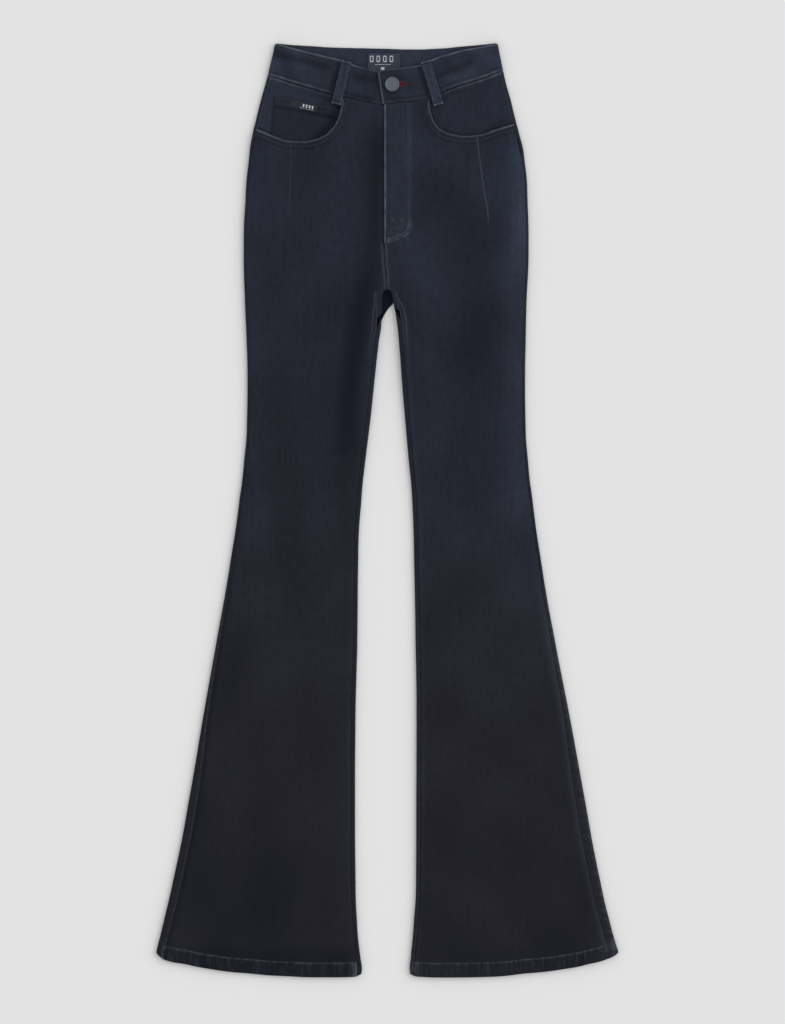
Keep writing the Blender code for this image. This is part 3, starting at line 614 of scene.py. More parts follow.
def meshPiece(name, points, faces, uv=None, **fields):
    mesh = bpy.data.meshes.new(name)
    mesh.from_pydata((points * 0.001).tolist(), [], faces.tolist())
    for field, values in fields.items():
        layer = mesh.attributes.new(field, "FLOAT", "POINT")
        layer.data.foreach_set("value", np.asarray(values, np.float32))
    if uv is not None:
        layer = mesh.uv_layers.new(name="cloth")
        corners = np.zeros(len(mesh.loops), np.int32)
        mesh.loops.foreach_get("vertex_index", corners)
        layer.data.foreach_set("uv", (uv[corners] * 0.001).astype(np.float32).ravel())
    mesh.shade_smooth()
    piece = bpy.data.objects.new(name, mesh)
    bpy.context.scene.collection.objects.link(piece)
    return piece


def dress(piece, material, slot, *nodes):
    piece.data.materials.append(material)
    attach(piece, "root")
    if nodes:
        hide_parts(*nodes)
    return piece


def cutOf(piece, width, length, area, restsOn, *sewn):
    # prints the cut as it shows, in millimetres; what is sewn on is not used
    flat = (width * 0.001, length * 0.001)
    area * 1e-6
    print("cut of %s: %.0f x %.0f mm, %.0f cm2" % (piece.name, width, length, area * 0.01))


def gridArea(grid):
    first = grid[1:, 1:] - grid[:-1, :-1]
    second = grid[1:, :-1] - grid[:-1, 1:]
    return float(np.linalg.norm(np.cross(first, second), axis=2).sum() / 2)


def span(values):
    return float(values.max() - values.min())


def spacing(width, start, end, count):
    # places across each width: near steps at both ends, even ones between
    width = np.atleast_1d(np.asarray(width, float))[:, None]
    start, end = np.array(start, float), np.array(end, float)
    room = np.minimum(1.0, 0.8 * width / (start[-1] + end[-1] + 1e-9))
    first = start * room
    last = width - (end * room)[:, ::-1]
    share = np.linspace(0, 1, count + 2)[1:-1]
    between = first[:, -1:] + (last[:, :1] - first[:, -1:]) * share
    return np.concatenate([first, between, last], axis=1)


edgeSteps = (0, 0.12, 0.35, 0.7, 1.3, 2.1, 3.2)
seamSteps = (0, 0.5, 1.0, 1.7, 2.8)

stitch = {
    "pitch": 3.1,
    "size": (1.32, 0.30, 0.26),     # half its length, width and height
    "bow": 0.16,                    # how far its ends dip into the cloth
    "sink": 0.05,                   # how deep a row lies
    "barWidth": 0.27,
}


def stitchForm():
    bpy.ops.object.select_all(action="DESELECT")
    bpy.ops.mesh.primitive_uv_sphere_add(segments=6, ring_count=5, radius=1.0)
    ball = bpy.context.object
    bpy.ops.object.mode_set(mode="EDIT")
    bpy.ops.mesh.select_all(action="SELECT")
    bpy.ops.transform.rotate(value=math.radians(90), orient_axis="Y", center_override=(0, 0, 0))
    bpy.ops.object.mode_set(mode="OBJECT")
    form = np.array([v.co for v in ball.data.vertices], float)
    faces = [tuple(face.vertices) for face in ball.data.polygons]
    mesh = ball.data
    bpy.data.objects.remove(ball)
    bpy.data.meshes.remove(mesh)
    return form, faces


form, formFaces = stitchForm()


def valuesAt(at, given, values):
    return np.stack([np.interp(at, given, values[:, k]) for k in range(3)], axis=1)


def evenPath(path, pitch):
    # middles and directions of stitches along a path of points
    path = np.asarray(path, float)
    along = lengthsAlong(path)
    count = max(1, int(along[-1] / pitch))
    at = (np.arange(count) + 0.5) * along[-1] / count
    reach = 0.3 * pitch
    return valuesAt(at, along, path), valuesAt(at + reach, along, path) - valuesAt(at - reach, along, path)


def sewStitches(middles, directions, normals, size):
    # copies of the one stitch, each laid along its direction
    t = directions / np.linalg.norm(directions, axis=1, keepdims=True)
    b = np.cross(normals, t)
    b /= np.linalg.norm(b, axis=1, keepdims=True)
    n = np.cross(t, b)
    size = np.broadcast_to(size, (len(middles), 3))
    x = form[:, 0][None, :] * size[:, :1]
    y = form[:, 1][None, :] * size[:, 1:2]
    z = form[:, 2][None, :] * size[:, 2:] - stitch["bow"] * form[:, 0][None, :] ** 2
    return (
        middles[:, None, :] + x[..., None] * t[:, None, :] + y[..., None] * b[:, None, :]
        + z[..., None] * n[:, None, :]
    )


class Sewing:
    # gathers the stitches of one piece of cloth into one mesh
    def __init__(self):
        self.points = []

    def row(self, path, normals=((0, 0, 1), (0, 0, 1))):
        # the normals are given at every point of the path, or at its two ends
        middle, direction = evenPath(path, stitch["pitch"])
        normals = np.asarray(normals, float)
        given = np.linspace(0, 1, len(normals))
        if len(normals) == len(path):
            given = lengthsAlong(path) / lengthsAlong(path)[-1]
        ways = valuesAt(np.linspace(0, 1, len(middle)), given, normals)
        self.points.append(sewStitches(middle, direction, ways, stitch["size"]))

    def bars(self, starts, ends, width=stitch["barWidth"]):
        # single straight stitches between pairs of points
        starts, ends = np.asarray(starts, float), np.asarray(ends, float)
        reach = np.linalg.norm(ends - starts, axis=1) / 2
        size = np.stack([reach, np.full(len(reach), width), np.full(len(reach), width)], axis=1)
        normals = np.broadcast_to(-downward, starts.shape)
        self.points.append(sewStitches((starts + ends) / 2, ends - starts, normals, size))

    def finish(self, name, material, slot="denim"):
        blocks = np.concatenate(self.points)
        offset = len(form)
        faces = [tuple(i * offset + k for k in face) for i in range(len(blocks)) for face in formFaces]
        mesh = bpy.data.meshes.new(name)
        mesh.from_pydata((blocks.reshape(-1, 3) * 0.001).tolist(), [], faces)
        mesh.shade_smooth()
        piece = bpy.data.objects.new(name, mesh)
        bpy.context.scene.collection.objects.link(piece)
        return dress(piece, material, slot)


print("tools ready")
makeCamera()
makeLight()
denimFace = denimCloth("denim face")
thread = threadFinish("thread", (0.022, 0.027, 0.039), (0.010, 0.013, 0.020))

# Fronts. Heights, depths and widths are millimetres, and wear and tone are shares.
front = {
    "mouthShare": 0.7,              # of the top edge, from the side to the mouth's end
    "hills": 0.16,                  # soft unevenness of the whole panel
    "drags": 0.06,
    "centreRow": 2.4,               # each side of the centre seam below the fly
    "centreLap": 0.30,
    "centreGroove": 0.24,
    "centreWear": 0.40,
    "crotchWear": 0.34,
    "waistWear": 0.17,
}
pocketMouth = {
    "rows": (3.8, 9.4),             # stitch rows below it
    "lap": 0.40,                    # the doubled cloth along it
    "lip": 0.14,
    "groove": 0.30,
    "pucker": 0.13,
    "swell": 0.16,
    "lipWear": 0.44,
    "sideLipWear": 0.2,             # more of it towards the side
    "rowWear": 0.20,
    "swellWear": 0.12,
    "rowShade": 0.65,
}
dart = {
    "right": (122.0, 217.0),        # from and to, down
    "left": (112.0, 222.0),
    "groove": 0.34,
    "fold": 0.22,
    "wear": {"right": 0.24, "left": 0.46},
}
inseam = {
    "lap": 0.42,
    "groove": 0.26,
    "pucker": 0.11,
    "wear": 0.05,
    "upperWear": 0.34,              # below the crotch
    "innerWear": 0.30,
    "tone": 0.30,
    "seed": {"right": 21, "left": 22},
}
besideSeam = {
    "ridge": 0.16,                  # the side seam's allowance under the cloth
    "lowRidge": 0.20,               # more of it below the knee
    "pucker": 0.10,
    # on the left leg, the wear beside the seam is partly a painted highlight of the edge facing the light
    "wear": {"right": 0.10, "left": 0.24},
    "wearAndHighlightReach": {"right": 2.5, "left": 12.0},
    "shade": {"right": 0.75, "left": 0.15},
    "lowSeamHighlight": 0.62,                # painted highlight along the left seam below the knee, where the edge faces the light
    "seed": {"right": 31, "left": 32},
}
flyRows = {
    "edge": ((0.6, 76), (0.9, 136), (1.8, 158), (2.4, 200), (2.6, 238)),
    "inner": ((21.9, 74), (21.9, 208), (21.0, 215), (17.5, 220.5), (6.5, 226.6), (3.0, 228)),
    "outer": ((27.2, 74), (27.2, 218), (26.0, 226), (21.2, 231), (12, 234.6), (1.5, 238)),
}
flyLook = {
    "lap": 0.42,
    "groove": 0.26,
    "pucker": 0.16,
    "creaseDown": 186.6,            # a crease across the fly
    "crease": 0.22,
    "creaseWear": 0.17,
    "edgeWear": 0.66,
    "edgeRowWear": 0.20,
    "rowWear": {"inner": 0.6, "outer": 1.0},
    "puckerWear": 0.16,
    "tackWear": 0.75,
    "tone": 0.38,
    "puckerTone": 0.16,
    "rowShade": 0.6,
}
hem = {
    "groove": 0.30,
    "roping": 0.30,                 # the twist of the turned cloth
    "pucker": 0.14,                 # above the row
    "rowWear": 0.40,
    "wear": 0.05,
    "cornerWear": {"right": 0.55, "left": 0.25},
    "shade": {"right": 0.8, "left": 0.25},
    "seed": {"right": 61, "left": 62},
}
guideSizes = SizeTable(
    # where close columns run: along the darts, and from the mouth's end to the hem
    "down right left corner",
    (112, 112.6, 107.6, 51), (141, 113.7, 111.3, 50), (180, 115.3, 116.4, 50),
    (215, 116.7, 121.3, 50), (300, 118, 122, 52), (453, 118, 120, 68), (621, 130, 130, 90),
    (813, 152, 152, 105), (1005, 170, 170, 112), (1122, 182, 182, 118),
)
inseamRowSizes = SizeTable(
    # distance of the outer inseam row from the inner edge
    "down right left",
    (296, 13.2, 8.9), (303, 9.6, 6.0), (312, 9.0, 9.2), (324, 10.6, 12.0), (345, 11.4, 11.4),
    (420, 9.4, 9.4), (560, 8.6, 8.6), (1122, 8.6, 8.6),
)


def dartOffset(leg, out, down):
    # signed distance from the dart, and how much of it is there
    start, end = dart[leg]
    there = ramp(down, start - 2, start + 3) * ramp(down, end + 6, end - 14)
    return out - guideSizes.read(leg, down), there


def mouthPucker(out, down):
    return unevenWave(out + down * 0.7, 6.5, 3)


def inseamPucker(leg, down):
    return unevenWave(down, 8.0, inseam["seed"][leg])


def sidePucker(leg, down):
    return unevenWave(down, 11.0, besideSeam["seed"][leg]) * (0.5 + ramp(down, 620, 900))


def flyPucker(out, down):
    return unevenWave(down, 9.0, 41) * ramp(out, 24, 18) * ramp(down, 240, 225)


def fromCrease(out, down):
    return down - flyLook["creaseDown"] + (out - 20) * 0.10


def flyRelief(out, down):
    lapEnd = ramp(down, 240, 234) * ramp(down + (out - 14) * 0.35, 238, 230)
    fromEdgeRow = lineDistance(flyRows["edge"], out, down)
    parts = [
        flyLook["lap"] * ramp(out, 28.6, 26.6) * lapEnd,
        -flyLook["groove"] * bell(fromEdgeRow, 0.85) * ramp(down, 240, 236),
        flyLook["pucker"] * flyPucker(out, down),
        flyLook["crease"] * bell(fromCrease(out, down), 1.6) * ramp(out, 6, 9) * ramp(out, 36, 32),
    ]
    for row in ("inner", "outer"):
        parts.append(-flyLook["groove"] * bell(lineDistance(flyRows[row], out, down), 0.8))
    return sum(parts)


def frontRelief(leg, out, down):
    fromInner = out - innerSizes.read(leg, down)
    fromSide = sideSeam(leg, down) - seamGap - out
    fromRow = fromInner - inseamRowSizes.read(leg, down)
    fromMouth = lineDistance(mouthLine(leg), out, down)
    fromDart, there = dartOffset(leg, out, down)
    belowFork = ramp(down, 296, 306)
    centre = ramp(down, 238, 246) * (1 - ramp(down, 286, 300))
    ridge = ramp(down, 110, 150) * (besideSeam["ridge"] + besideSeam["lowRidge"] * ramp(down, 520, 760))
    hills = softHills(out * sign[leg], down * 0.55, 70, 51) * front["hills"]
    drags = softHills(out * sign[leg] * 1.4, down * 0.35, 26, 52) * front["drags"]
    parts = [
        pocketMouth["lap"] * ramp(fromMouth, 10.6, 8.4),
        pocketMouth["lip"] * bell(fromMouth - 1.4, 1.3),
        pocketMouth["pucker"] * mouthPucker(out, down) * bell(fromMouth - 6.0, 4.2),
        pocketMouth["swell"] * bell(fromMouth - 13.0, 2.6) * ramp(out, 70, 100),
        -dart["groove"] * bell(fromDart, 0.6) * there,
        dart["fold"] * there * ramp(fromDart, 0.1, 0.9) * ramp(fromDart, 9, 3),
        inseam["lap"] * belowFork * ramp(fromRow, 1.3, -0.3),
        -inseam["groove"] * belowFork * bell(fromRow, 0.8),
        inseam["pucker"] * inseamPucker(leg, down) * belowFork * bell(fromRow, 7),
        ridge * ramp(fromSide, 12.5, 9.5),
        besideSeam["pucker"] * sidePucker(leg, down) * bell(fromSide - 3, 8),
        front["centreLap"] * centre * ramp(fromInner, 5.6, 3.6),
        -front["centreGroove"] * centre * bell(fromInner - front["centreRow"], 0.7),
        hills * ramp(fromInner, 2, 22) * ramp(fromSide, 2, 22),
        drags * ramp(fromInner, 2, 14) * ramp(fromSide, 2, 14),
    ]
    for row in pocketMouth["rows"]:
        parts.append(-pocketMouth["groove"] * bell(fromMouth - row, 0.9))
    if leg == "left":
        parts.append(flyRelief(out, down))
    return sum(parts)


def inHem(fromHem):
    # fromHem is the distance above the hem's edge
    return ramp(fromHem, hemDepth + 0.6, hemDepth - 0.8)


def hemRoping(leg, out, fromHem):
    return unevenWave(out + fromHem * 0.75 * sign[leg], 10.5, hem["seed"][leg])


def hemRelief(leg, out, fromHem):
    turned = inHem(fromHem)
    roping = hemRoping(leg, out, fromHem)
    relief = hemStep * turned + hem["roping"] * roping * turned * ramp(fromHem, 0.5, 5)
    relief = relief - hem["groove"] * bell(fromHem - hemDepth + 0.4, 0.8)
    return relief + hem["pucker"] * roping * bell(fromHem - hemDepth - 3, 7) * (1 - turned)


def frontTop(leg, out, down, fromHem=1e3):
    return frontBase(leg, out, down) + frontRelief(leg, out, down) + hemRelief(leg, out, fromHem)


def frontGrid(leg):
    stations = np.concatenate([
        np.arange(straightDown, 198, 2.5),
        np.arange(198, 244, 1.0),           # close rows where the fly's stitching bends
        np.arange(244, 285, 2.5),
        np.arange(285, 342, 1.5),
        np.linspace(343, length - 34, 206),
        length - spacing(34, edgeSteps, (0,), 19)[0, ::-1][1:],
    ])
    first = sideSeam(leg, stations) - sideGap(stations)
    last = frontInnerEdge(leg, stations)
    guides = [
        first,
        guideSizes.read(leg, stations),
        guideSizes.read("corner", stations),
        innerSizes.read(leg, stations) + 27.2,
        last,
    ]
    plans = (
        (edgeSteps + (5.0, 7.2, 9.6, 12.4), seamSteps, 9),
        (seamSteps, (0,), 24),
        ((0,), (0, 0.7, 1.5), 6),
        ((0, 0.7, 1.5), edgeSteps + (4.4, 5.6, 7.0), 13),
    )
    mouthOut = float(mouthSizes.read(leg + "Out", 1.0))
    dartShare = np.interp(-guides[1][0] + 0.6, -mouthSizes.columns[leg + "Out"], mouthSizes.at)
    lastStop = float(frontInnerEdge(leg, frontSeamDown(leg, 0.0)))
    waistSpan = mouthOut - lastStop
    flyShare = front["mouthShare"] + (1 - front["mouthShare"]) * (mouthOut - guides[3][0]) / waistSpan
    corners = (0.0, dartShare * front["mouthShare"], front["mouthShare"], flyShare, 1.0)
    outs, tops = [], []
    for i, plan in enumerate(plans):
        width = guides[i] - guides[i + 1]
        across = spacing(width, *plan)[:, :-1]
        outs.append(guides[i][:, None] - across)
        tops.append(corners[i] + (corners[i + 1] - corners[i]) * across[0] / width[0])
    out = np.concatenate(outs + [last[:, None]], axis=1)
    top = np.concatenate(tops + [[1.0]])
    share = (first[:, None] - out) / (first - last)[:, None]
    side = sideEdge(leg, stations)[:, None]
    across = (side - out) / (side - frontInner(leg, stations)[:, None])
    down = hemLine(leg, across, stations[:, None])
    first = sideSeam(leg, down) - sideGap(down)
    out = first + (frontInnerEdge(leg, down) - first) * share
    fromHem = np.broadcast_to(length - stations[:, None], down.shape)
    # rows from the pocket mouth and the waistband to the first straight row
    inMouth = top < front["mouthShare"]
    mouthOuts = mouthSizes.read(leg + "Out", top / front["mouthShare"])
    mouthDowns = mouthSizes.read(leg + "Down", top / front["mouthShare"])
    mouthOuts = np.minimum(mouthOuts, sideSeam(leg, mouthDowns) - sideGap(mouthDowns))
    waistShare = (top - front["mouthShare"]) / (1 - front["mouthShare"])
    waistOut = mouthOut - waistSpan * waistShare
    topOut = np.where(inMouth, mouthOuts, waistOut)
    topDown = np.where(inMouth, mouthDowns, frontSeamDown(leg, waistOut) + seamGap)
    reach = np.hypot(out[0] - topOut, down[0] - topDown)
    nearSteps = edgeSteps + (4.4, 5.6, 6.8, 8.0, 9.2, 10.6)
    steps = (spacing(reach, nearSteps, (0,), 18) / reach[:, None]).T[:-1]
    upOut = topOut + (out[0] - topOut) * steps
    upDown = topDown + (down[0] - topDown) * steps
    out = np.concatenate([upOut, out])
    down = np.concatenate([upDown, down])
    fromHem = np.concatenate([np.full(upOut.shape, 1e3), fromHem])
    return out, down, fromHem


def flyWear(out, down):
    aboveEnd = ramp(down, 240, 232)
    edge = (flyLook["edgeWear"] + 0.14 * unevenWave(down, 19.0, 8)) * ramp(down, 246, 238)
    crease = bell(fromCrease(out, down) - 1.0, 1.5) * ramp(out, 6, 9) * ramp(out, 36, 32)
    low = ramp(down, 196, 212) * ramp(out, 25, 19)
    puckers = softHills(out * 1.3, down, 8.5, 43) * low * ramp(out, 1, 4)
    fromEdgeRow = lineDistance(flyRows["edge"], out, down)
    marks = [
        edge * bell(out - frontInnerEdge("left", down) - 1.0, 1.35),
        flyLook["creaseWear"] * crease,
        (0.10 + flyLook["puckerWear"] * puckers) * low * aboveEnd,
        flyLook["edgeRowWear"] * bell(fromEdgeRow - 1.6, 1.3) * ramp(down, 240, 234),
        flyLook["tackWear"] * bell(np.hypot((out - 1.4) / 2.4, (down - 237) / 4.0), 1),
    ]
    for row, share in flyLook["rowWear"].items():
        beside = bell(lineDistance(flyRows[row], out, down) - 1.5, 1.3)
        uneven = 1 + 0.5 * unevenWave(down + out, 8.0, 42)
        marks.append(share * (0.20 + 0.22 * ramp(down, 206, 224)) * beside * uneven)
    return strongest(marks)


def frontWearAndHighlight(leg, out, down, fromHem):
    fromInner = out - innerSizes.read(leg, down)
    fromRow = fromInner - inseamRowSizes.read(leg, down)
    fromSide = sideSeam(leg, down) - out
    fromMouth = lineDistance(mouthLine(leg), out, down)
    fromDart, there = dartOffset(leg, out, down)
    upper = ramp(down, 290, 300) * ramp(down, 420, 330)
    low = ramp(down, 560, 720) * ramp(fromHem, 4, 12)
    centre = ramp(down, 238, 244) * ramp(down, 300, 292)
    turned = ramp(fromHem, hemDepth + 1, hemDepth - 1)
    lip = pocketMouth["lipWear"] + pocketMouth["sideLipWear"] * ramp(out, 120, 150)
    rim = lip * bell(fromMouth - 1.1, 1.7) + pocketMouth["rowWear"] * bell(fromMouth - 6.3, 1.3)
    rim = rim + pocketMouth["swellWear"] * bell(fromMouth - 12.5, 2.2) * ramp(out, 70, 100)
    row = (inseam["wear"] + inseam["upperWear"] * upper) * ramp(down, 292, 302)
    marks = [
        rim * (1 + 0.22 * unevenWave(out + down * 0.7, 9.0, 7)),
        dart["wear"][leg] * bell(fromDart - 0.5, 1.1) * there,
        row * bell(fromRow + 0.6, 1.4),
        inseam["innerWear"] * upper * bell(fromInner - 6.0, 1.2),
        # on the left leg, partly a painted highlight
        besideSeam["wear"][leg] * low * ramp(fromSide, besideSeam["wearAndHighlightReach"][leg], 0),
        hem["rowWear"] * bell(fromHem - hemDepth + 1.2, 1.2) * (0.8 + 0.3 * unevenWave(out, 7.0, 63)),
        turned * (hem["wear"] + 0.05 * unevenWave(out + fromHem * 0.4, 17.0, 66)),
        turned * bell(fromInner - 4, 8) * hem["cornerWear"][leg],
        front["centreWear"] * centre * bell(fromInner - front["centreRow"], 1.7),
        front["crotchWear"] * bell(np.hypot(fromInner / 4.5, (down - 287) / 5.0), 1),
        front["waistWear"] * bell(down - frontSeamDown(leg, out) - 1.9, 1.3) * ramp(out, 56, 50),
    ]
    if leg == "left":
        marks.append(flyWear(out, down))
    return np.clip(strongest(marks), 0, 1)


patchColumns = "leg out down halfOut halfDown tone"
patches = (                     # lighter and darker parts of the cloth
    ("left", 158, 430, 36, 190, 0.80),
    ("left", 168, 170, 18, 100, 0.95),
    ("left", 112, 345, 34, 110, -0.75),
    ("left", 40, 560, 20, 90, 0.36),
    ("left", 78, 180, 26, 70, -0.34),
    ("left", 158, 195, 14, 50, 0.34),
    ("left", 62, 480, 22, 70, 0.25),
    ("left", 150, 330, 20, 70, 0.28),
    ("left", 162, 520, 20, 60, 0.30),
    ("left", 238, 1030, 26, 60, -0.30),
    ("left", 160, 690, 60, 150, 0.26),
    ("left", 48, 330, 22, 70, 0.25),
    ("left", 262, 1010, 14, 130, 0.40),
    ("left", 60, 1112, 60, 16, 0.5),
    ("right", 44, 830, 16, 130, 0.40),
    ("right", 46, 1000, 14, 90, 0.35),
    ("right", 180, 1050, 80, 44, -0.42),
    ("right", 145, 1010, 66, 60, -0.28),
    ("right", 190, 770, 26, 56, -0.40),
    ("right", 50, 1030, 18, 70, 0.28),
    ("right", 104, 525, 30, 80, -0.24),
    ("right", 50, 525, 16, 60, -0.28),
    ("right", 80, 165, 24, 50, -0.22),
    ("right", 92, 309, 26, 60, -0.24),
    ("right", 34, 1108, 9, 12, 1.1),
    ("right", 160, 290, 22, 110, 0.16),
    ("right", 160, 660, 40, 60, 0.2),
)
innerTroughShade = ((11, 90), (14, 200), (19, 262), (33, 330), (43, 405), (50, 485))


def patchTone(leg, out, down):
    total = 0.0
    for row in patches:
        patch = dict(zip(patchColumns.split(), row))
        if patch["leg"] == leg:
            across = (out - patch["out"]) / patch["halfOut"]
            along = (down - patch["down"]) / patch["halfDown"]
            total = total + patch["tone"] * np.exp(-(across ** 2 + along ** 2))
    return total


def frontTone(leg, out, down):
    fromInner = out - innerSizes.read(leg, down)
    fromRow = fromInner - inseamRowSizes.read(leg, down)
    fromSide = sideSeam(leg, down) - out
    fromMouth = lineDistance(mouthLine(leg), out, down)
    low = ramp(down, 540, 700)
    rowShade = -pocketMouth["rowShade"] * (1 + 0.4 * mouthPucker(out, down))
    parts = [
        # lighter up the leg and darker towards the hem: painted uneven light
        0.30 * ramp(down, 420, 200) - 0.35 * ramp(down, 700, 1050),
        -hem["shade"][leg] * ramp(down, 1080, 1100),
        0.18 * softHills(out * sign[leg], down * 0.6, 60, 53 + len(leg)),
        patchTone(leg, out, down),
        -besideSeam["shade"][leg] * low * bell(fromSide - 2.2, 1.6),
        inseam["tone"] * ramp(fromRow, 5, -1) * ramp(down, 300, 330),
    ]
    for row in pocketMouth["rows"]:
        parts.append(rowShade * bell(fromMouth - row, 1.3))
    if leg == "right":
        # painted shade along the trough of the right inner thigh
        troughShade = bell(lineDistance(innerTroughShade, out, down), 12) * ramp(down, 80, 120)
        parts.append(-(0.9 + 1.0 * ramp(down, 260, 320)) * troughShade * ramp(down, 540, 440))
    else:
        parts.append(flyLook["tone"] * ramp(out, 34, 24) * ramp(down, 250, 230))
        # painted highlight along the left leg's outer edge below the knee
        parts.append(besideSeam["lowSeamHighlight"] * low * ramp(fromSide, 14, 0))
        parts.append(flyLook["puckerTone"] * flyPucker(out, down))
        parts.append(-flyLook["rowShade"] * bell(lineDistance(flyRows["edge"], out, down), 1.3))
    return sum(parts)


def onFront(leg, points, count=160):
    # a smooth path over the front through places of the lay-out
    points = np.array(points, float)
    along = lengthsAlong(points)
    at = np.linspace(0, along[-1], count)
    out, down = np.interp(at, along, points[:, 0]), np.interp(at, along, points[:, 1])
    return place(leg, out, down, frontTop(leg, out, down) - stitch["sink"])


def besideMouth(leg, distance):
    line = np.array(mouthLine(leg))
    along = np.gradient(line, axis=0)
    along /= np.linalg.norm(along, axis=1, keepdims=True)
    return line + np.stack([along[:, 1], -along[:, 0]], axis=1) * distance


def frontSewing(leg):
    sewing = Sewing()

    def bentRow(out, station):
        # a row that bends towards the hem's own line
        across = (sideEdge(leg, station) - out) / (sideEdge(leg, station) - frontInner(leg, station))
        down = hemLine(leg, across, station)
        keep = (out < sideSeam(leg, down) - 1) & (out > frontInnerEdge(leg, down) + 0.6)
        fromHem = np.broadcast_to(length - station, out.shape)[keep]
        height = frontTop(leg, out[keep], down[keep], fromHem) - stitch["sink"]
        sewing.row(place(leg, out[keep], down[keep], height))

    for distance in pocketMouth["rows"]:
        row = besideMouth(leg, distance)
        keep = (row[:, 1] > frontSeamDown(leg, row[:, 0]) + 1) & (row[:, 0] < sideSeam(leg, row[:, 1]) - 1)
        sewing.row(onFront(leg, row[keep]))
    stations = np.linspace(300, length - 2, 260)
    bentRow(innerSizes.read(leg, stations) + inseamRowSizes.read(leg, stations), stations)
    downs = np.linspace(243, 292, 12)
    centre = innerSizes.read(leg, downs) + front["centreRow"]
    sewing.row(onFront(leg, np.stack([centre, downs], axis=1)))
    first, last = float(sideSeam(leg, 1080)), float(frontInnerEdge(leg, 1105))
    bentRow(np.linspace(first, last, 160), length - hemDepth + 0.4)
    if leg == "left":
        for row in ("inner", "outer", "edge"):
            sewing.row(onFront(leg, flyRows[row]))
        for out, downFrom, downTo in ((2.7, 208, 212), (0.4, 224, 239)):   # bar tacks
            downs = np.arange(downFrom, downTo, 0.42)
            starts = place(leg, out - 1.0, downs, frontTop(leg, out - 1.0, downs) + 0.10)
            ends = place(leg, out + 1.0, downs + 0.2, frontTop(leg, out + 1.0, downs) + 0.10)
            sewing.bars(starts, ends)
    return sewing.finish("stitches_front_" + leg, thread)


def makeFront(leg):
    out, down, fromHem = frontGrid(leg)
    base = place(leg, out, down, frontBase(leg, out, down))
    seamRounding = 0.15 + 0.15 * ramp(down, 420, 600)
    piece = clothWall(
        "front_panel_" + leg,
        base,
        cloth + (hemCloth - cloth - hemStep) * (fromHem < hemDepth),
        np.stack([out * sign[leg], -down], axis=-1),
        wear=frontWearAndHighlight(leg, out, down, fromHem),
        tone=frontTone(leg, out, down),
        rope=ramp(fromHem, hemDepth + 1.5, hemDepth - 1),
        rounding=seamRounding + 0.4 * ramp(sideSeam(leg, down) - out, 2, 5),
        relief=frontRelief(leg, out, down) + hemRelief(leg, out, fromHem),
    )
    dress(piece, denimFace, "denim", "front_" + leg)
    cutOf(piece, span(out), span(down), gridArea(base), ["back_" + leg], frontSewing(leg))


for leg in ("right", "left"):
    makeFront(leg)
print("fronts sewn")

# Backs. A section runs from the strip on the front round the side, along the floor and
# round the inner edge.
back = {
    "stripRow": 3.7,                # row beside the inseam, from the inner edge
    "hollow": 0.30,                 # how far the flat part lifts off the floor
    "innerPucker": 0.12,
    "rowGroove": 0.22,
    "roping": 0.22,
    "hemGroove": 0.36,
    "hemLift": 0.14,                # the hem's underside over the floor
    "rowWear": 0.05,
    "edgeWear": 0.16,
    "ridgeWear": 0.30,
    # painted shade on the inner face, which shows between the legs below the crotch
    "innerTone": -1.5,
}
stripShares = (0.0, 0.03, 0.08, 0.15, 0.25, 0.37, 0.5, 0.65, 0.82)
innerShares = (0.0, 0.25, 0.45, 0.62, 0.76, 0.87, 0.95, 1.0)


def backColumns():
    # zone of each column of the section (strip, side, flat, inner turn, inner strip) and share
    flat = np.concatenate([[0.0, 0.006, 0.018], np.linspace(0.04, 0.96, 32), [0.982, 0.994]])
    arc = np.linspace(0, 1, 13)
    zones = [(0, s) for s in stripShares] + [(1, s) for s in arc[:-1]] + [(2, s) for s in flat]
    zones += [(3, s) for s in arc[:-1]] + [(4, s) for s in innerShares]
    return np.array([z for z, _ in zones]), np.array([s for _, s in zones])


def sideHeight(leg, down):
    mouthEnd = float(mouthSizes.read(leg + "Down", 0.0))
    inMouth = ramp(down, mouthEnd + 1.5, mouthEnd - 2.5)
    return laySizes.read("height", down) - (cloth + seamGap) * inMouth


def backSection(leg, down, zone, share):
    # places across a back at each down: out, height, and the direction into the cloth
    side, inner = sideEdge(leg, down), backInner(leg, down)
    radius = sideHeight(leg, down) / 2
    run = np.maximum(sideTurnSizes.read("width", down) - radius, 0.4)
    lay = (laySizes.read("height", down) + crotchRiseSizes.read("height", down)) / 2
    turn = np.radians(np.maximum(forkTurnSizes.read(leg, down), 0.05))
    bend = np.maximum(lay * turn, 1.6) / turn
    innerRun = np.maximum((inseamTurn - lay) * ramp(turn, math.pi / 2, math.pi), 0.4)
    past = turn > math.pi / 2
    reach = np.where(past, bend, bend * np.sin(turn) + innerRun * np.cos(turn))
    theta = np.select([zone == 0, zone == 1], [math.pi, math.pi * (1 - share)], 0.0)
    swept = np.select([zone == 3, zone == 4], [turn * share, turn], 0.0)
    strip = np.where(zone == 0, run * (1 - share), 0.0)
    tail = np.where(zone == 4, innerRun * share, 0.0)
    atSide = side - radius + radius * np.sin(theta) - strip
    flatOut = side - radius + (inner + reach - side + radius) * share
    atInner = inner + reach - bend * np.sin(swept) - tail * np.cos(swept)
    out = np.select([zone < 2, zone == 2], [atSide, flatOut], atInner)
    innerHeight = bend * (1 - np.cos(swept)) + tail * np.sin(swept)
    height = np.select([zone < 2, zone == 2], [radius * (1 - np.cos(theta)), 0.0], innerHeight)
    intoOut = np.select([zone < 2, zone == 2], [-np.sin(theta), 0.0], np.sin(swept))
    intoHeight = np.select([zone < 2, zone == 2], [np.cos(theta), 1.0], np.cos(swept))
    return out, height, intoOut, intoHeight


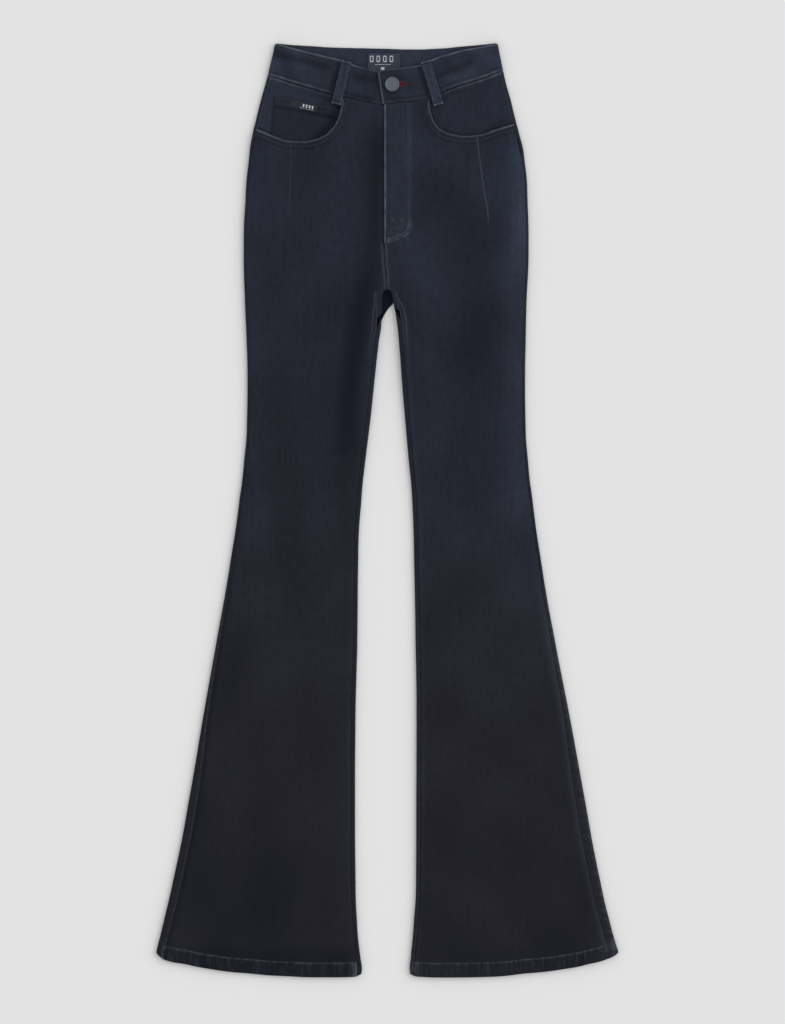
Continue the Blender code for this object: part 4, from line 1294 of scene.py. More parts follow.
def backGrid(leg):
    zone, share = backColumns()
    top = float(frontSeamDown(leg, bandFoldOut(leg))) + seamGap
    stations = np.concatenate([
        top + spacing(289 - top, edgeSteps, (0,), 76)[0][:-1],
        np.arange(289, 348, 1.5),
        np.linspace(349, length - 34, 190),
        length - spacing(34, edgeSteps, (0,), 19)[0, ::-1][1:],
    ])[:, None]
    zone, share = np.broadcast_arrays(zone[None, :], share[None, :])
    zone = np.broadcast_to(zone, (len(stations), zone.shape[1]))
    share = np.broadcast_to(share, zone.shape)
    rows = np.broadcast_to(stations, zone.shape)
    out, height, intoOut, intoHeight = backSection(leg, rows, zone, share)
    isFlat = zone >= 2
    sag = (backSeamLine(leg, out) + seamGap - top) * isFlat * (1 - (rows - top) / (289 - top))
    across = (sideEdge(leg, rows) - out) / (sideEdge(leg, rows) - backInner(leg, rows))
    bent = hemLine(leg, across, rows)
    low = backSection(leg, bent, zone, share)
    below = rows >= 289
    out, height = np.where(below, low[0], out), np.where(below, low[1], height)
    intoOut, intoHeight = np.where(below, low[2], intoOut), np.where(below, low[3], intoHeight)
    down = np.where(below, bent, rows + sag)
    inward = np.stack([intoOut * sign[leg], np.zeros(out.shape), intoHeight], axis=-1)
    return out, down, height, inward, length - rows, zone


def backRelief(leg, out, down, fromHem, zone, height):
    # along the outer face, which is the floor side where the section is flat
    fromInner = out - backInner(leg, down)
    sideTop = (zone < 2) * ramp(height, 2.5, 5.5)
    innerTop = (zone > 2) * ramp(height, 2.5, 5.5)
    turned = inHem(fromHem)
    roping = hemRoping(leg, out, fromHem)
    twist = turned * ramp(fromHem, 0.5, 5)
    return sum([
        besideSeam["pucker"] * sidePucker(leg, down) * sideTop,
        back["innerPucker"] * inseamPucker(leg, down) * innerTop,
        -back["rowGroove"] * bell(fromInner - back["stripRow"], 0.7) * innerTop * ramp(down, 334, 346),
        ramp(height, 0.8, 3.5) * (hemStep * 0.6 * turned + back["roping"] * roping * twist),
        -back["hemGroove"] * bell(fromHem - hemDepth + 0.4, 0.8),
        -back["hemLift"] * (zone == 2) * (1 + roping) * twist,
    ])


def surfacePath(points, normals, rowAt, columnAt):
    # places on a grid at fractional rows and columns, with the way out of the cloth there
    rowAt, columnAt = np.broadcast_arrays(np.asarray(rowAt, float), np.asarray(columnAt, float))
    r = np.clip(rowAt.astype(int), 0, points.shape[0] - 2)
    c = np.clip(columnAt.astype(int), 0, points.shape[1] - 2)
    u, v = (rowAt - r)[:, None], (columnAt - c)[:, None]
    found = []
    for grid in (points, normals):
        upper = grid[r, c] * (1 - v) + grid[r, c + 1] * v
        lower = grid[r + 1, c] * (1 - v) + grid[r + 1, c + 1] * v
        found.append(upper * (1 - u) + lower * u)
    return found


def backSewing(leg, points, inward, fromHem, zone, down):
    sewing = Sewing()
    stations = fromHem[:, 0]
    hemRow = float(np.interp(-(hemDepth - 0.4), -stations, np.arange(len(stations))))
    columns = np.arange(2, points.shape[1] - 2)
    path, way = surfacePath(points, -inward, hemRow, columns)
    sewing.row(path - way * (0.06 + 0.10 * ramp(-way[:, 2:], 0.2, 0.8)), way)
    stripColumns = np.nonzero(zone[0] == 4)[0]
    first = int(np.searchsorted(down[:, stripColumns[0]], 338))
    rows = np.arange(first, len(stations) - 1)
    path, way = surfacePath(points, -inward, rows, stripColumns[0] + 2.2)
    sewing.row(path - way * 0.04, way)
    return sewing.finish("stitches_back_" + leg, thread)


def makeBack(leg):
    out, down, height, inward, fromHem, zone = backGrid(leg)
    fromSide = sideEdge(leg, down) - out
    fromInner = out - backInner(leg, down)
    fromSeam = sideTurnSizes.read("width", down) - fromSide
    relief = backRelief(leg, out, down, fromHem, zone, height)
    hollow = back["hollow"] * np.clip(softHills(out, down * 0.6, 90, 71) + 0.8, 0, 2) * (zone == 2)
    hollow = hollow * ramp(fromSide, 12, 34) * ramp(fromInner, 12, 34) * ramp(fromHem, 24, 60)
    base = place(leg, out, down, height + hollow)
    onTop = ramp(height, 2.0, 5.0)
    onStrip = onTop * (fromSeam > 0)
    low = ramp(down, 560, 720) * (0.8 + 0.4 * unevenWave(down, 9.0, 33))
    if leg == "right":
        wear = back["ridgeWear"] * low * bell(fromSeam - 2.2, 1.9) * onStrip
    else:
        # partly a painted highlight of the left back's outer edge, which faces the light
        wear = low * onTop * (0.20 + 0.16 * ramp(fromSide, 6, 1))
    wear = wear + back["edgeWear"] * ramp(down, 520, 300) * bell(fromSeam - 0.6, 1.2) * onStrip
    wear = wear + back["rowWear"] * onTop * bell(fromInner - back["stripRow"], 1.4) * ramp(down, 330, 340)
    wear = wear + back["rowWear"] * onTop * ramp(fromHem, hemDepth + 1, hemDepth - 1)
    across = lengthsAlong(base, axis=1)
    turned = fromHem < hemDepth
    piece = clothWall(
        "back_panel_" + leg,
        base,
        cloth + (hemCloth - cloth) * turned,
        np.stack([across, -down], axis=-1),
        inward=inward,
        wear=np.clip(wear, 0, 1),
        # lighter up the leg and darker towards the hem: painted uneven light
        tone=0.2 * ramp(down, 420, 200) - 0.25 * ramp(down, 700, 1050) - hem["shade"][leg] * turned,
        innerTone=back["innerTone"],
        rope=ramp(fromHem, hemDepth + 1.5, hemDepth - 1),
        rounding=np.where(zone == 0, 0.15 + 0.2 * ramp(down, 420, 600), 0.35),
        relief=relief,
    )
    dress(piece, denimFace, "denim", "back_" + leg)
    surface = base - inward * relief[..., None]
    stitches = backSewing(leg, surface, inward, fromHem, zone, down)
    cutOf(piece, float(across.max()), span(down), gridArea(base), ["floor"], stitches)


for leg in ("right", "left"):
    makeBack(leg)
print("backs sewn")

# Pocket facings, the coin pocket and its label.
coin = {
    "tuck": 7.0,
    "top": ((134.3, 64.6), (57.5, 80.5)),
    "low": (140.0, 54.5),
    "hem": 9.5,
    "rows": (1.5, 4.2),
    "label": {"start": (115.1, 68.9), "size": (33.0, 8.4), "tilt": math.radians(12)},
}


pocket = {"waistGap": 0.12}


def mouthDownAt(leg, out):
    share = np.linspace(1, 0, 61)
    return np.interp(out, mouthSizes.read(leg + "Out", share), mouthSizes.read(leg + "Down", share))


def facingPiece(leg):
    first = bandFoldOut(leg)
    last = float(mouthSizes.read(leg + "Out", 1.0)) - 8.0
    stops = first - spacing(first - last, edgeSteps, edgeSteps, 54)[0]
    top = frontSeamDown(leg, stops) + pocket["waistGap"]
    low = np.maximum(mouthDownAt(leg, stops) + 13.0, top + 22.0)
    steps = (spacing(40.0, edgeSteps, edgeSteps, 30)[0] / 40.0)[:, None]
    down = top + (low - top) * steps
    widen = sideSeam(leg, down) - sideGap(down) - first
    out = stops + widen * (stops - last) / (first - last)
    soft = np.minimum(softHills(out * sign[leg], down, 34, 81) * 0.10, 0.12)
    swell = 0.85 * bell(down - top - 1.6, 1.7)
    base = place(leg, out, down, facingBase(leg, out, down))
    toSide = ramp(out, 60, 140)
    # lighter along the top edge and beside the side seam: partly wear, partly painted light over the dark
    # seam gaps
    ridge = (0.16 + 0.30 * toSide) if leg == "right" else (0.30 + 0.22 * toSide)
    wear = ridge * bell(down - top - 1.6, 1.7) * (1 + 0.25 * unevenWave(out, 14.0, 83))
    wear = wear + 0.08 * ramp(out, 120, 150) + 0.22 * bell(sideSeam(leg, down) - out - 0.6, 0.9)
    piece = clothWall(
        "facing_" + leg,
        base,
        cloth,
        np.stack([out * sign[leg], -down], axis=-1),
        wear=wear,
        tone=facingTone(leg, out, down, top),
        rounding=np.minimum(0.3, 0.15 + 0.1 * (sideSeam(leg, down) - out)),
        relief=soft + swell,
    )
    dress(piece, denimFace, "denim", "pocket_facing_" + leg)
    cutOf(piece, span(out), span(down), gridArea(base), ["back_" + leg])


def facingTone(leg, out, down, top):
    # painted shadow under the mouth's edge and beside the right loop, and painted shade in the groove of
    # the waist's own allowance on the right
    mouth = lineDistance(mouthLine(leg), out, down)
    tone = (0.62 if leg == "right" else 0.34) - 0.5 * ramp(mouth, 5, 1)
    if leg == "right":
        tone = tone + 0.2 - 2.0 * ramp(mouth, 13, 3) * ramp(out, 92, 72)
        tone = tone - 0.9 * bell(np.hypot((out - 70) / 7, (down - 68) / 8), 1)
    else:
        tone = tone + 0.2 * ramp(out, 100, 140) - 0.6 * bell(out - 134, 14) * ramp(mouth, 16, 3)
    return tone - 0.6 * bell(down - top - 7.0, 1.5) * ramp(out, 52, 66) * ramp(out, 108, 92)


def coinBase(out, down):
    return facingBase("right", out, down) + seamGap + trimCloth


def coinPlace(share, fromTop):
    # out and down of the coin pocket at a share along its top edge and a distance below it
    topFrom, topTo = np.array(coin["top"])
    topOut = topFrom[0] + (topTo[0] - topFrom[0]) * share
    topDown = topFrom[1] + (topTo[1] - topFrom[1]) * share
    lowOut = coin["low"][0] + (coin["low"][1] - coin["low"][0]) * share
    lowDown = mouthDownAt("right", lowOut) + coin["tuck"]
    reach = np.hypot(lowOut - topOut, lowDown - topDown)
    step = np.minimum(fromTop / reach, 1.0)
    return topOut + (lowOut - topOut) * step, topDown + (lowDown - topDown) * step, reach


def coinRelief(out, down, fromTop, share):
    relief = 0.65 * ramp(fromTop, coin["hem"] + 0.9, coin["hem"] - 0.9)
    for row in coin["rows"]:
        relief = relief - 0.22 * bell(fromTop - row, 0.65)
    return relief + 0.06 * softHills(out, down, 22, 82)


def coinTone(out, down, fromTop):
    # a shadow line under the turned top, darkest beside the mouth
    mouth = lineDistance(mouthLine("right"), out, down)
    tone = 0.35 - 1.9 * bell(fromTop - coin["hem"] - 1.8, 1.9) * (0.45 + 0.55 * ramp(out, 110, 70))
    tone = tone - 0.30 * ramp(fromTop, 10, 13) - 2.0 * ramp(mouth, 14, 3) * ramp(out, 96, 74)
    return tone - 0.5 * ramp(out, 100, 76) * ramp(fromTop, 11, 9)


def coinPocket():
    shares = spacing(76.0, edgeSteps, edgeSteps, 44)[0] / 76.0
    reach = coinPlace(shares, 0.0)[2]
    fromTop = spacing(reach, edgeSteps + (4.2, 5.2, 7.0, 8.8, 9.6, 10.4, 11.6), edgeSteps, 18).T
    out, down, _ = coinPlace(shares[None, :], fromTop)
    patch = out, down
    base = place("right", out, down, coinBase(out, down))
    wear = 0.26 * bell(fromTop - 0.6, 1.1) + 0.18 * bell(fromTop - coin["rows"][1] - 1.6, 1.2)
    wear = wear + 0.16 * bell(fromTop - coin["hem"] + 0.8, 1.0)
    piece = clothWall(
        "coin_pocket_patch",
        base,
        trimCloth,
        np.stack([-out, -down], axis=-1),
        wear=wear,
        tone=coinTone(out, down, fromTop),
        relief=coinRelief(out, down, fromTop, shares),
    )
    sewing = Sewing()
    share = np.linspace(0.02, 0.985, 90)
    for row in coin["rows"]:
        out, down, _ = coinPlace(share, row)
        height = coinBase(out, down) + coinRelief(out, down, np.full(out.shape, row), share)
        sewing.row(place("right", out, down, height - 0.04))
    stitches = sewing.finish("stitches_coin_pocket", thread)
    dress(piece, denimFace, "denim", "coin_pocket")
    return piece, (span(patch[0]), span(patch[1]), gridArea(base)), stitches


def labelPlace(label, across, along):
    # out and down of a place on the coin pocket's label
    start = np.array(label["start"])
    tilt = label["tilt"]
    out = start[0] - math.cos(tilt) * along + math.sin(tilt) * across
    return out, start[1] + math.sin(tilt) * along + math.cos(tilt) * across


for leg in ("right", "left"):
    facingPiece(leg)
coinPatch, coinCut, coinStitches = coinPocket()


def labelWeave(name, dark, pale):
    made = Shade(name)
    weave = made.node("ShaderNodeUVMap", {"uv_map": "cloth"}, {})
    sockets = {"Vector": weave, "Scale": 700.0, "Distortion": 0.4}
    ribbed = made.node("ShaderNodeTexWave", {"bands_direction": "Y"}, sockets, 1)
    made.set(Base_Color=made.mix(ribbed, dark, pale), Roughness=0.55, Specular_IOR_Level=0.25)
    made.bump(ribbed, 0.00004)
    return made.material


waistLabelCloth = labelWeave("waist label cloth", (0.020, 0.0265, 0.0475), (0.033, 0.042, 0.067))
coinLabelCloth = labelWeave("coin pocket label cloth", (0.0088, 0.0118, 0.0198), (0.0150, 0.0190, 0.0300))
labelThread = threadFinish("label thread", (0.86, 0.88, 0.93), (0.62, 0.64, 0.70))


def coinLabel():
    label = coin["label"]
    size = label["size"]
    along = spacing(size[0], edgeSteps, edgeSteps, 24)[0]
    across = spacing(size[1], edgeSteps, edgeSteps, 8)[0]
    along, across = np.meshgrid(along, across)
    out, down = labelPlace(label, across, along)
    base = place("right", out, down, coinBase(out, down) + seamGap + trimCloth)
    piece = clothWall(
        "coin_pocket_tab",
        base,
        trimCloth,
        np.stack([along, -across], axis=-1),
        relief=-0.10 * bell(along - 2.2, 0.7) - 0.10 * bell(along - size[0] + 2.2, 0.7),
    )
    dress(piece, coinLabelCloth, "label", "coin_pocket_label")
    sewing = Sewing()
    lift = seamGap + trimCloth + 0.06
    starts, ends = [], []
    for mark in range(4):           # four plain blocks
        left = 15.2 + mark * 3.7
        for k in range(5):
            for side, at in ((starts, left), (ends, left + 2.4)):
                o, d = labelPlace(label, 2.2 + k * 0.72, at)
                side.append(place("right", o, d, coinBase(o, d) + lift))
    for mark in range(9):
        left = 12.5 + mark * 1.9
        for side, at in ((starts, left), (ends, left + 1.0)):
            o, d = labelPlace(label, 7.0, at)
            side.append(place("right", o, d, coinBase(o, d) + lift))
    sewing.bars(starts, ends, width=0.30)
    marks = sewing.finish("marks_coin_pocket_label", labelThread, "label")
    # the label is too narrow for a cut of its own
    cutOf(coinPatch, *coinCut, ["pocket_facing_right"], coinStitches, piece, marks)


coinLabel()
print("pockets made")

# The waistband runs from its right end, under the tab, round the back to the tab.
band = {
    "rows": (4.5,),           # stitch row above the lower edge
    "topRow": 2.7,
    "endRow": 4.4,
    "sideRadius": layHip / 2,
    "button": (6.4, 50.6),
    "hole": {"eye": 2.9, "slit": 18.0, "width": 1.4},
}


def bandBase(leg, out):
    if leg == "right":
        return np.full(np.shape(out), layHip)
    return layHip + tab["lift"] * ramp(out, tab["to"], tab["from"])


def bandFrontGrid(leg, endSeam, endTop, steps):
    first = bandFoldOut(leg)
    sideTop = float(sideEdge(leg, 1.0)) - band["sideRadius"]
    stops = first - spacing(first - endSeam, (0,), edgeSteps, 112)[0]
    share = (first - stops) / (first - endSeam)
    topOut = sideTop + (endTop - sideTop) * share
    topDown = frontWaistSizes.read(leg + "Top", topOut)
    seamDown = frontSeamDown(leg, stops)
    out = stops + (topOut - stops) * steps
    down = seamDown + (topDown - seamDown) * steps
    return place(leg, out, down, bandBase(leg, out))


def bandGrid():
    steps = (spacing(37.0, edgeSteps + (4.4, 5.0, 5.6, 6.6), edgeSteps, 20)[0] / 37.0)[:, None]
    right = bandFrontGrid("right", -tab["underlap"], -tab["underlap"], steps)
    left = bandFrontGrid("left", tab["endSeam"], tab["endTop"], steps)
    share = np.linspace(0, 1, 120)
    start, end = right[:, :1, 0], left[:, :1, 0]
    x = start + (end - start) * share
    seam = np.where(x < 0, backSeamLine("right", np.abs(x)), backSeamLine("left", np.abs(x)))
    rightTop, leftTop = (backWaistSizes.read(leg + "Top", np.abs(x)) for leg in ("right", "left"))
    top = np.where(x < 0, rightTop, leftTop)
    backFace = np.stack([x, middleDown - seam - (top - seam) * steps, np.zeros(x.shape)], axis=-1)

    def fold(leg, front, backEnd):
        share = np.linspace(0, 1, 18)[1:-1]
        radius = band["sideRadius"]
        x = front[:, None, 0] + sign[leg] * radius * np.sin(math.pi * share)
        y = front[:, None, 1] + (backEnd[:, None, 1] - front[:, None, 1]) * share
        z = np.broadcast_to(radius * (1 + np.cos(math.pi * share)), x.shape)
        return np.stack([x, y, z], axis=-1)

    rightFold = fold("right", right[:, 0], backFace[:, 0])
    leftFold = fold("left", left[:, 0], backFace[:, -1])[:, ::-1]
    return np.concatenate([right[:, ::-1], rightFold, backFace, leftFold, left], axis=1)


outer = bandGrid()
across = np.gradient(outer, axis=1)
bandInward = np.stack([-across[..., 2], np.zeros(outer.shape[:2]), across[..., 0]], axis=-1)
bandInward /= np.linalg.norm(bandInward, axis=2, keepdims=True)
bandUp = np.concatenate([
    np.zeros((1, outer.shape[1])), np.cumsum(np.linalg.norm(np.diff(outer, axis=0), axis=2), axis=0)
])
bandAlong = np.concatenate([
    np.zeros((outer.shape[0], 1)), np.cumsum(np.linalg.norm(np.diff(outer, axis=1), axis=2), axis=1)
], axis=1)
bandTop = bandUp[-1:] - bandUp
onFrontSide = ramp(-bandInward[..., 2], 0.2, 0.9)
bandRelief = 0.26 * bell(bandUp - 2.1, 1.7) + 0.20 * bell(bandTop - 1.0, 1.6)
for row in band["rows"]:
    bandRelief = bandRelief - 0.22 * bell(bandUp - row, 0.7)
bandRelief = bandRelief - 0.20 * bell(bandTop - band["topRow"], 0.65)
dents = softHills(bandAlong * 0.55, bandUp * 1.6, 26, 91) * 0.16
bandRelief = bandRelief + dents * ramp(bandUp, 5, 12) * ramp(bandTop, 3, 10)
bandTroughs = (                 # each from and to: x, down
    ((-137, 13), (-70, 30)),
    ((62, 40), (100, 24)),
    ((-36, 42), (-14, 44)),
    ((-58, 63), (-20, 70)),
)
bandX, bandDown = outer[..., 0], middleDown - outer[..., 1]
hollows = sum(bell(lineDistance(line, bandX, bandDown), 4.2) for line in bandTroughs) * (onFrontSide > 0.5)
bandRelief = bandRelief - 0.22 * hollows * ramp(bandUp, 3, 8) * ramp(bandTop, 2, 6)
bandRelief = bandRelief + 0.12 * unevenWave(bandAlong, 7.0, 92) * bell(bandUp - 4.0, 3.4)
bandRelief = np.where(onFrontSide < 0.5, np.minimum(bandRelief, 0.0), bandRelief)
bandEnd = bandAlong[:, -1:] - bandAlong
bandRelief = bandRelief - 0.24 * bell(bandEnd - band["endRow"], 0.7)
bandOut = np.abs(outer[..., 0])
toSide = ramp(bandOut, 40, 125)
bandWear = onFrontSide * (0.20 + 0.28 * toSide) * bell(bandUp - 2.0, 1.6)
bandWear = bandWear * (1 + 0.3 * unevenWave(bandAlong, 16.0, 94))
topWear = (0.40 + 0.24 * ramp(bandOut, 20, 50)) * (1 + 0.28 * unevenWave(bandAlong, 24.0, 99))
bandWear = np.maximum(bandWear, topWear * bell(bandTop - 0.5, 1.9))
bandWear = np.maximum(bandWear, 0.26 * bell(bandTop - 5.0, 1.3) * toSide)
bandWear = np.maximum(bandWear, 0.62 * bell(bandEnd - 1.1, 1.3))
bandTone = 0.55 + 0.45 * toSide + 0.26 * softHills(bandAlong, bandUp * 2, 42, 93)
# painted shade in the dents, and painted light and shade on broad patches of the band
bandTone = bandTone - 0.95 * hollows
bandTone = bandTone + 0.35 * bell(np.hypot((bandX - 94) / 22, (bandDown - 40) / 9), 1) * onFrontSide
bandTone = bandTone + 0.45 * bell(np.hypot((bandX + 30) / 14, (bandDown - 56) / 6), 1) * onFrontSide
bandTone = bandTone - 0.25 * bell(np.hypot((bandX - 34) / 14, (bandDown - 58) / 8), 1) * onFrontSide
bandTone = bandTone - 0.45 * bell(bandUp - 5.2, 1.3) * onFrontSide
besideLoops = (                 # shade on the one side of each loop: from, to, width, depth
    ((-57, 24), (-68, 66), 3.6, 1.3),
    ((37.5, 26), (50, 66), 2.4, 0.9),
)
for start, end, width, depth in besideLoops:
    shade = bell(lineDistance((start, end), bandX, bandDown), width)
    bandTone = bandTone - depth * shade * onFrontSide
bandPiece = clothWall(
    "waistband_piece",
    outer,
    bandCloth,
    np.stack([bandAlong, bandUp], axis=-1),
    inward=bandInward,
    wear=np.clip(bandWear, 0, 1),
    tone=bandTone,
    # painted light on the band's inner face, which lies in shade
    innerTone=1.15,
    rounding=0.35 + 0.35 * ramp(bandUp, 3, 8),
    relief=bandRelief,
)


def cutButtonhole(piece):
    # an eye for the shank and a slit beside it
    x, y = band["button"][0] * 0.001, (middleDown - band["button"][1]) * 0.001
    z = (layHip + seamGap / 2 + 2.35) * 0.001
    hole = band["hole"]
    bpy.ops.object.select_all(action="DESELECT")
    size = {"radius": hole["eye"] * 0.001, "depth": 0.0047}
    bpy.ops.mesh.primitive_cylinder_add(vertices=32, location=(x, y, z), **size)
    eye = bpy.context.object
    reach = hole["slit"] * 0.001
    bpy.ops.mesh.primitive_cube_add(size=1, location=(x + reach / 2, y, z))
    slit = bpy.context.object
    slit.scale = (reach, hole["width"] * 0.001, 0.0046)
    for cutter in (eye, slit):
        bpy.ops.object.select_all(action="DESELECT")
        piece.select_set(True)
        bpy.context.view_layer.objects.active = piece
        cut = piece.modifiers.new("buttonhole", "BOOLEAN")
        cut.object = cutter
        cut.solver = "EXACT"
        bpy.ops.object.modifier_apply(modifier=cut.name)
        bpy.data.objects.remove(cutter)


cutButtonhole(bandPiece)
dress(bandPiece, denimFace, "denim", "waistband")
bandSurface = outer - bandInward * bandRelief[..., None]
stepAt = np.arange(outer.shape[0])
bandSewing = Sewing()
columnAt = np.arange(3, outer.shape[1] - 4).astype(float)
for fromEdge, rows in ((bandUp, band["rows"]), (bandTop, (band["topRow"],))):
    for row in rows:
        rowAt = []
        for column in columnAt.astype(int):
            line = fromEdge[:, column]
            order = np.argsort(line)
            rowAt.append(np.interp(row, line[order], stepAt[order]))
        path, way = surfacePath(bandSurface, -bandInward, rowAt, columnAt)
        bandSewing.row(path - way * (0.05 + 0.16 * ramp(-way[:, 2:], 0.2, 0.8)), way)
rowAt = np.arange(3, outer.shape[0] - 3)
endAt = [np.interp(-band["endRow"], -bandEnd[r], np.arange(outer.shape[1])) for r in rowAt]
path, way = surfacePath(bandSurface, -bandInward, rowAt, endAt)
bandSewing.row(path - way * 0.05, way)
bandStitches = bandSewing.finish("stitches_waistband", thread)

redThread = threadFinish("red thread", (0.145, 0.027, 0.044), (0.060, 0.012, 0.021))
hole = {"from": 12.8, "to": 25.8, "wide": 4.5, "narrow": 0.5, "pitch": 0.42}
x = np.arange(hole["from"], hole["to"], hole["pitch"])
reach = hole["wide"] + (hole["narrow"] - hole["wide"]) * np.clip((x - 14.0) / (hole["to"] - 14.0), 0, 1)
centre = middleDown - band["button"][1] + 0.4
redSewing = Sewing()
for side in (-1, 1):
    nearSlit = np.where(x < band["button"][0] + band["hole"]["slit"], 0.2, 0.0)
    top = np.full(x.shape, layHip + tab["lift"] + 0.10)
    starts = np.stack([x, centre + side * nearSlit, top], axis=1)
    ends = np.stack([x + 0.1, centre + side * reach, top], axis=1)
    redSewing.bars(starts, ends, width=0.25)
redStitches = redSewing.finish("stitches_buttonhole", redThread)
bandSize = float(bandAlong.max()), float(bandUp.max()), gridArea(outer)
cutOf(bandPiece, *bandSize, ["floor"], bandStitches, redStitches)

waistLabel = {"x": (-22.6, 15.8), "down": (12.9, 35.4)}


def makeWaistLabel():
    (x0, x1), (d0, d1) = waistLabel["x"], waistLabel["down"]
    x = x0 + spacing(x1 - x0, edgeSteps, edgeSteps, 26)[0]
    down = d0 + spacing(d1 - d0, edgeSteps, edgeSteps, 16)[0]
    x, down = np.meshgrid(x, down)
    height = bandCloth + seamGap + trimCloth
    base = np.stack([x, middleDown - down, np.full(x.shape, height)], axis=-1)
    piece = clothWall(
        "waist_label_piece",
        base,
        trimCloth,
        np.stack([x, -down], axis=-1),
        relief=-0.10 * (bell(x - x0 - 2.2, 0.7) + bell(x1 - 2.2 - x, 0.7)),
    )
    dress(piece, waistLabelCloth, "label", "waist_label")
    sewing = Sewing()
    starts, ends = [], []
    for mark in range(4):           # plain blocks
        left = -20.4 + mark * 7.9
        for k in range(6):
            at = 16.4 + k * 1.3
            wide = 4.6 if k in (0, 5) else 1.3
            starts.append((left, middleDown - at, height + 0.06))
            ends.append((left + wide, middleDown - at, height + 0.06))
            starts.append((left + 4.6 - wide, middleDown - at, height + 0.07))
            ends.append((left + 4.6, middleDown - at, height + 0.07))
    for mark in range(8):
        left = -13.9 + mark * 2.4
        starts.append((left, middleDown - 26.4, height + 0.05))
        ends.append((left + 1.4, middleDown - 26.4, height + 0.05))
    for k in range(3):
        starts.append((-7.6, middleDown - 30.2 - k * 1.2, height + 0.05))
        ends.append((-2.0, middleDown - 30.2 - k * 1.2, height + 0.05))
    sewing.bars(starts, ends, width=0.50)
    marks = sewing.finish("marks_waist_label", labelThread, "label")
    cutOf(piece, x1 - x0, d1 - d0, gridArea(base), ["waistband"], marks)


makeWaistLabel()
print("waistband made")

# Belt loops lie slack between their sewn ends.
loops = {
    "width": 12.2, "slack": 1.8, "rows": 1.7,
    "right": ((48.1, 22.6), (60.6, 74.4)),
    "left": ((46.4, 22.4), (62.4, 75.0)),
}


def beltLoop(leg):
    top, bottom = np.array(loops[leg])
    run = bottom - top
    size = np.linalg.norm(run)
    side = np.array((run[1], -run[0])) / size
    fromTop = spacing(size, edgeSteps, edgeSteps, 40)[0]
    fromLeft = spacing(loops["width"], edgeSteps, edgeSteps, 10)[0]
    fromLeft, fromTop = np.meshgrid(fromLeft, fromTop)
    out = top[0] + run[0] * fromTop / size + side[0] * (fromLeft - loops["width"] / 2)
    down = top[1] + run[1] * fromTop / size + side[1] * (fromLeft - loops["width"] / 2)
    slack = loops["slack"] * np.sin(math.pi * fromTop / size) ** 2
    height = layHip + mouthLift(leg, out, down) + seamGap + loopCloth + slack
    base = place(leg, out, down, height)
    fromEdge = np.minimum(fromLeft, loops["width"] - fromLeft)
    fromEnd = np.minimum(fromTop, size - fromTop)
    relief = 0.16 * bell(fromEdge - 1.2, 1.0) - 0.20 * bell(fromEdge - loops["rows"] - 0.9, 0.8)
    relief = relief + 0.20 * softHills(fromLeft * 2, fromTop, 9, 95 + len(leg)) * ramp(fromEdge, 0.5, 3)
    relief = relief - 0.25 * bell(fromEnd - 3.4, 0.9)
    ends = 0.40 * bell(fromTop - 0.8, 1.6) + 0.26 * bell(size - fromTop - 1.0, 1.6)
    wear = (0.26 * bell(fromEdge - 1.4, 1.5) + ends) * (1 + 0.45 * unevenWave(fromTop, 7.0, 96))
    wear = wear + 0.12 * np.maximum(softHills(fromLeft * 2.4, fromTop, 10, 98), 0)
    piece = clothWall(
        "loop_" + leg,
        base,
        loopCloth,
        np.stack([fromLeft, -fromTop], axis=-1),
        wear=wear,
        tone=(0.85 if leg == "right" else 1.1) + 0.3 * softHills(fromLeft * 2, fromTop, 12, 97),
        relief=relief,
        rounding=1.3,
    )
    dress(piece, denimFace, "denim", "belt_loop_" + leg)
    sewing = Sewing()
    surface = base - downward * relief[..., None]
    up = np.broadcast_to(-downward, base.shape)
    rowAt = np.arange(6, base.shape[0] - 7)
    lefts = fromLeft[0]
    for at in (loops["rows"] + 0.6, loops["width"] - loops["rows"] - 0.6):
        column = float(np.interp(at, lefts, np.arange(len(lefts))))
        path, way = surfacePath(surface, up, rowAt, column)
        sewing.row(path - way * 0.05, way)
    tops = fromTop[:, 0]
    for end in (3.4, size - 3.4):   # bar tacks
        row = float(np.interp(end, tops, np.arange(len(tops))))
        columns = np.interp(np.arange(1.2, loops["width"] - 1.0, 0.45), lefts, np.arange(len(lefts)))
        middle, _ = surfacePath(surface, up, row, columns)
        along = np.array((sign[leg] * run[0], -run[1], 0.0)) / size
        sewing.bars(middle - along * 0.9 + (0, 0, 0.08), middle + along * 0.9 + (0, 0, 0.08))
    stitches = sewing.finish("stitches_loop_" + leg, thread)
    overSlack = float(np.linalg.norm(np.diff(base[:, 0], axis=0), axis=1).sum())
    cutOf(piece, loops["width"], overSlack, gridArea(base), ["waistband", "front_" + leg], stitches)


for leg in ("right", "left"):
    beltLoop(leg)

# The tack button is turned from a disc.
button = {
    "rings": (                    # radius and height above the seat, from the shank's foot up
        (2.6, -2.5), (2.6, 0.45), (4.6, 0.55), (7.6, 1.0), (8.3, 1.5), (8.68, 2.1), (8.70, 2.6),
        (8.5, 3.05), (8.1, 3.3), (7.6, 3.38), (7.1, 3.3), (6.8, 3.05), (6.6, 2.82), (6.2, 2.74),
        (4.6, 2.72), (4.3, 2.80), (3.9, 2.84), (3.5, 2.78), (3.2, 2.72), (1.4, 2.72),
    ),
    "seat": layHip + tab["lift"] + seamGap,
}


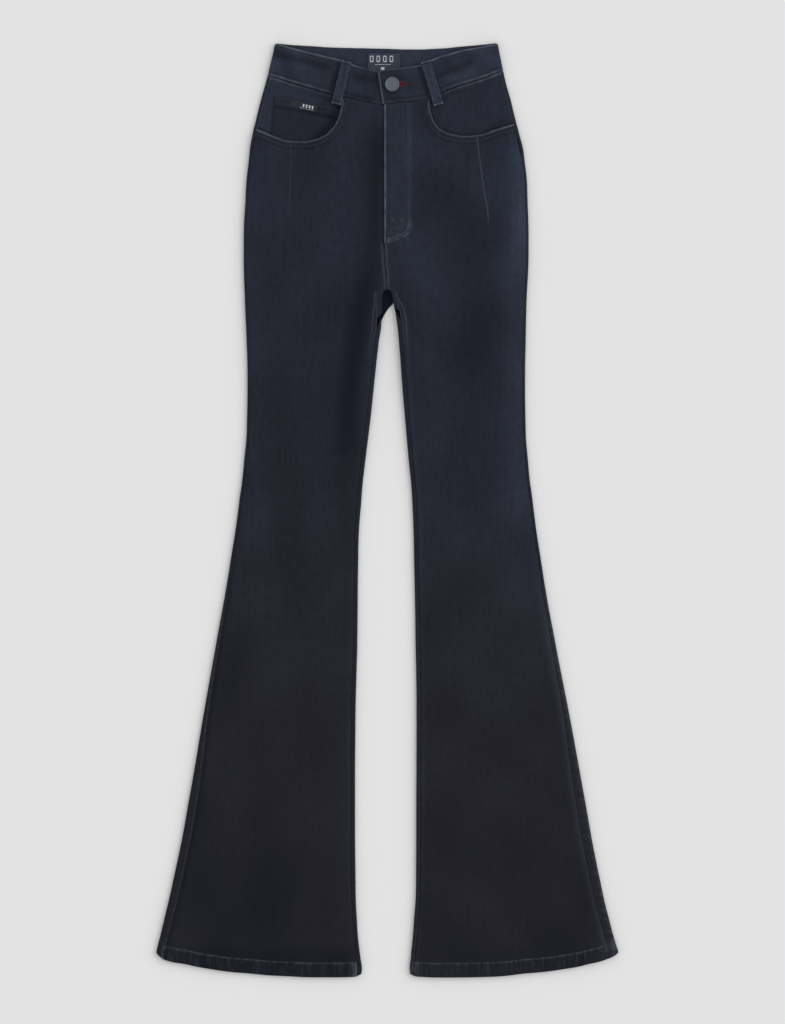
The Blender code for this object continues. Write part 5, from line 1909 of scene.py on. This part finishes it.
def turnedForm(name, rings, sides):
    # one ring after the other is pulled out of a disc
    x, y = band["button"][0], middleDown - band["button"][1]
    centre = (x * 0.001, y * 0.001, 0.0)
    radius, height = rings[0]
    bpy.ops.object.select_all(action="DESELECT")
    bpy.ops.mesh.primitive_circle_add(
        vertices=sides, radius=radius * 0.001, fill_type="NGON",
        location=(centre[0], centre[1], (button["seat"] + height) * 0.001),
    )
    made = bpy.context.object
    made.name = name
    bpy.ops.object.transform_apply(location=True)
    bpy.ops.object.mode_set(mode="EDIT")
    bpy.ops.mesh.select_all(action="SELECT")
    for (before, low), (after, high) in zip(rings, rings[1:]):
        bpy.ops.mesh.extrude_region_move(TRANSFORM_OT_translate={"value": (0, 0, (high - low) * 0.001)})
        share = after / before
        bpy.ops.transform.resize(value=(share, share, 1), center_override=centre)
    bpy.ops.mesh.select_all(action="SELECT")
    bpy.ops.mesh.normals_make_consistent(inside=False)
    bpy.ops.object.mode_set(mode="OBJECT")
    bpy.ops.object.shade_smooth_by_angle(angle=math.radians(50))
    return made


metal = Shade("dull metal")
spot = metal.node("ShaderNodeTexCoord", {}, {}, 3)
cast = metal.noise(spot, 700.0, 3.0)
metal.set(Base_Color=metal.mix(cast, (0.092, 0.105, 0.128), (0.148, 0.166, 0.20)))
metal.set(Metallic=0.75, Roughness=metal.maths("ADD", 0.42, cast * 0.16), Specular_IOR_Level=0.4)
metal.bump(cast, 0.00004)
buttonPiece = turnedForm("tack_button", button["rings"], 64)
dress(buttonPiece, metal.material, "button_metal", "button")
print("button made")

floorSize = 6.0


def makeFloor():
    bpy.ops.object.select_all(action="DESELECT")
    bpy.ops.mesh.primitive_plane_add(size=floorSize, location=(0, 0, -0.0002))
    floor = bpy.context.object
    floor.name = "floor"
    made = Shade("paper floor")
    place = made.node("ShaderNodeTexCoord", {}, {}, 3)
    grain = made.noise(place, 900.0, 2.0)
    made.set(Base_Color=light["floorColour"], Roughness=0.9, Specular_IOR_Level=0.0)
    made.bump(grain, 0.00002)
    floor.data.materials.append(made.material)


makeFloor()
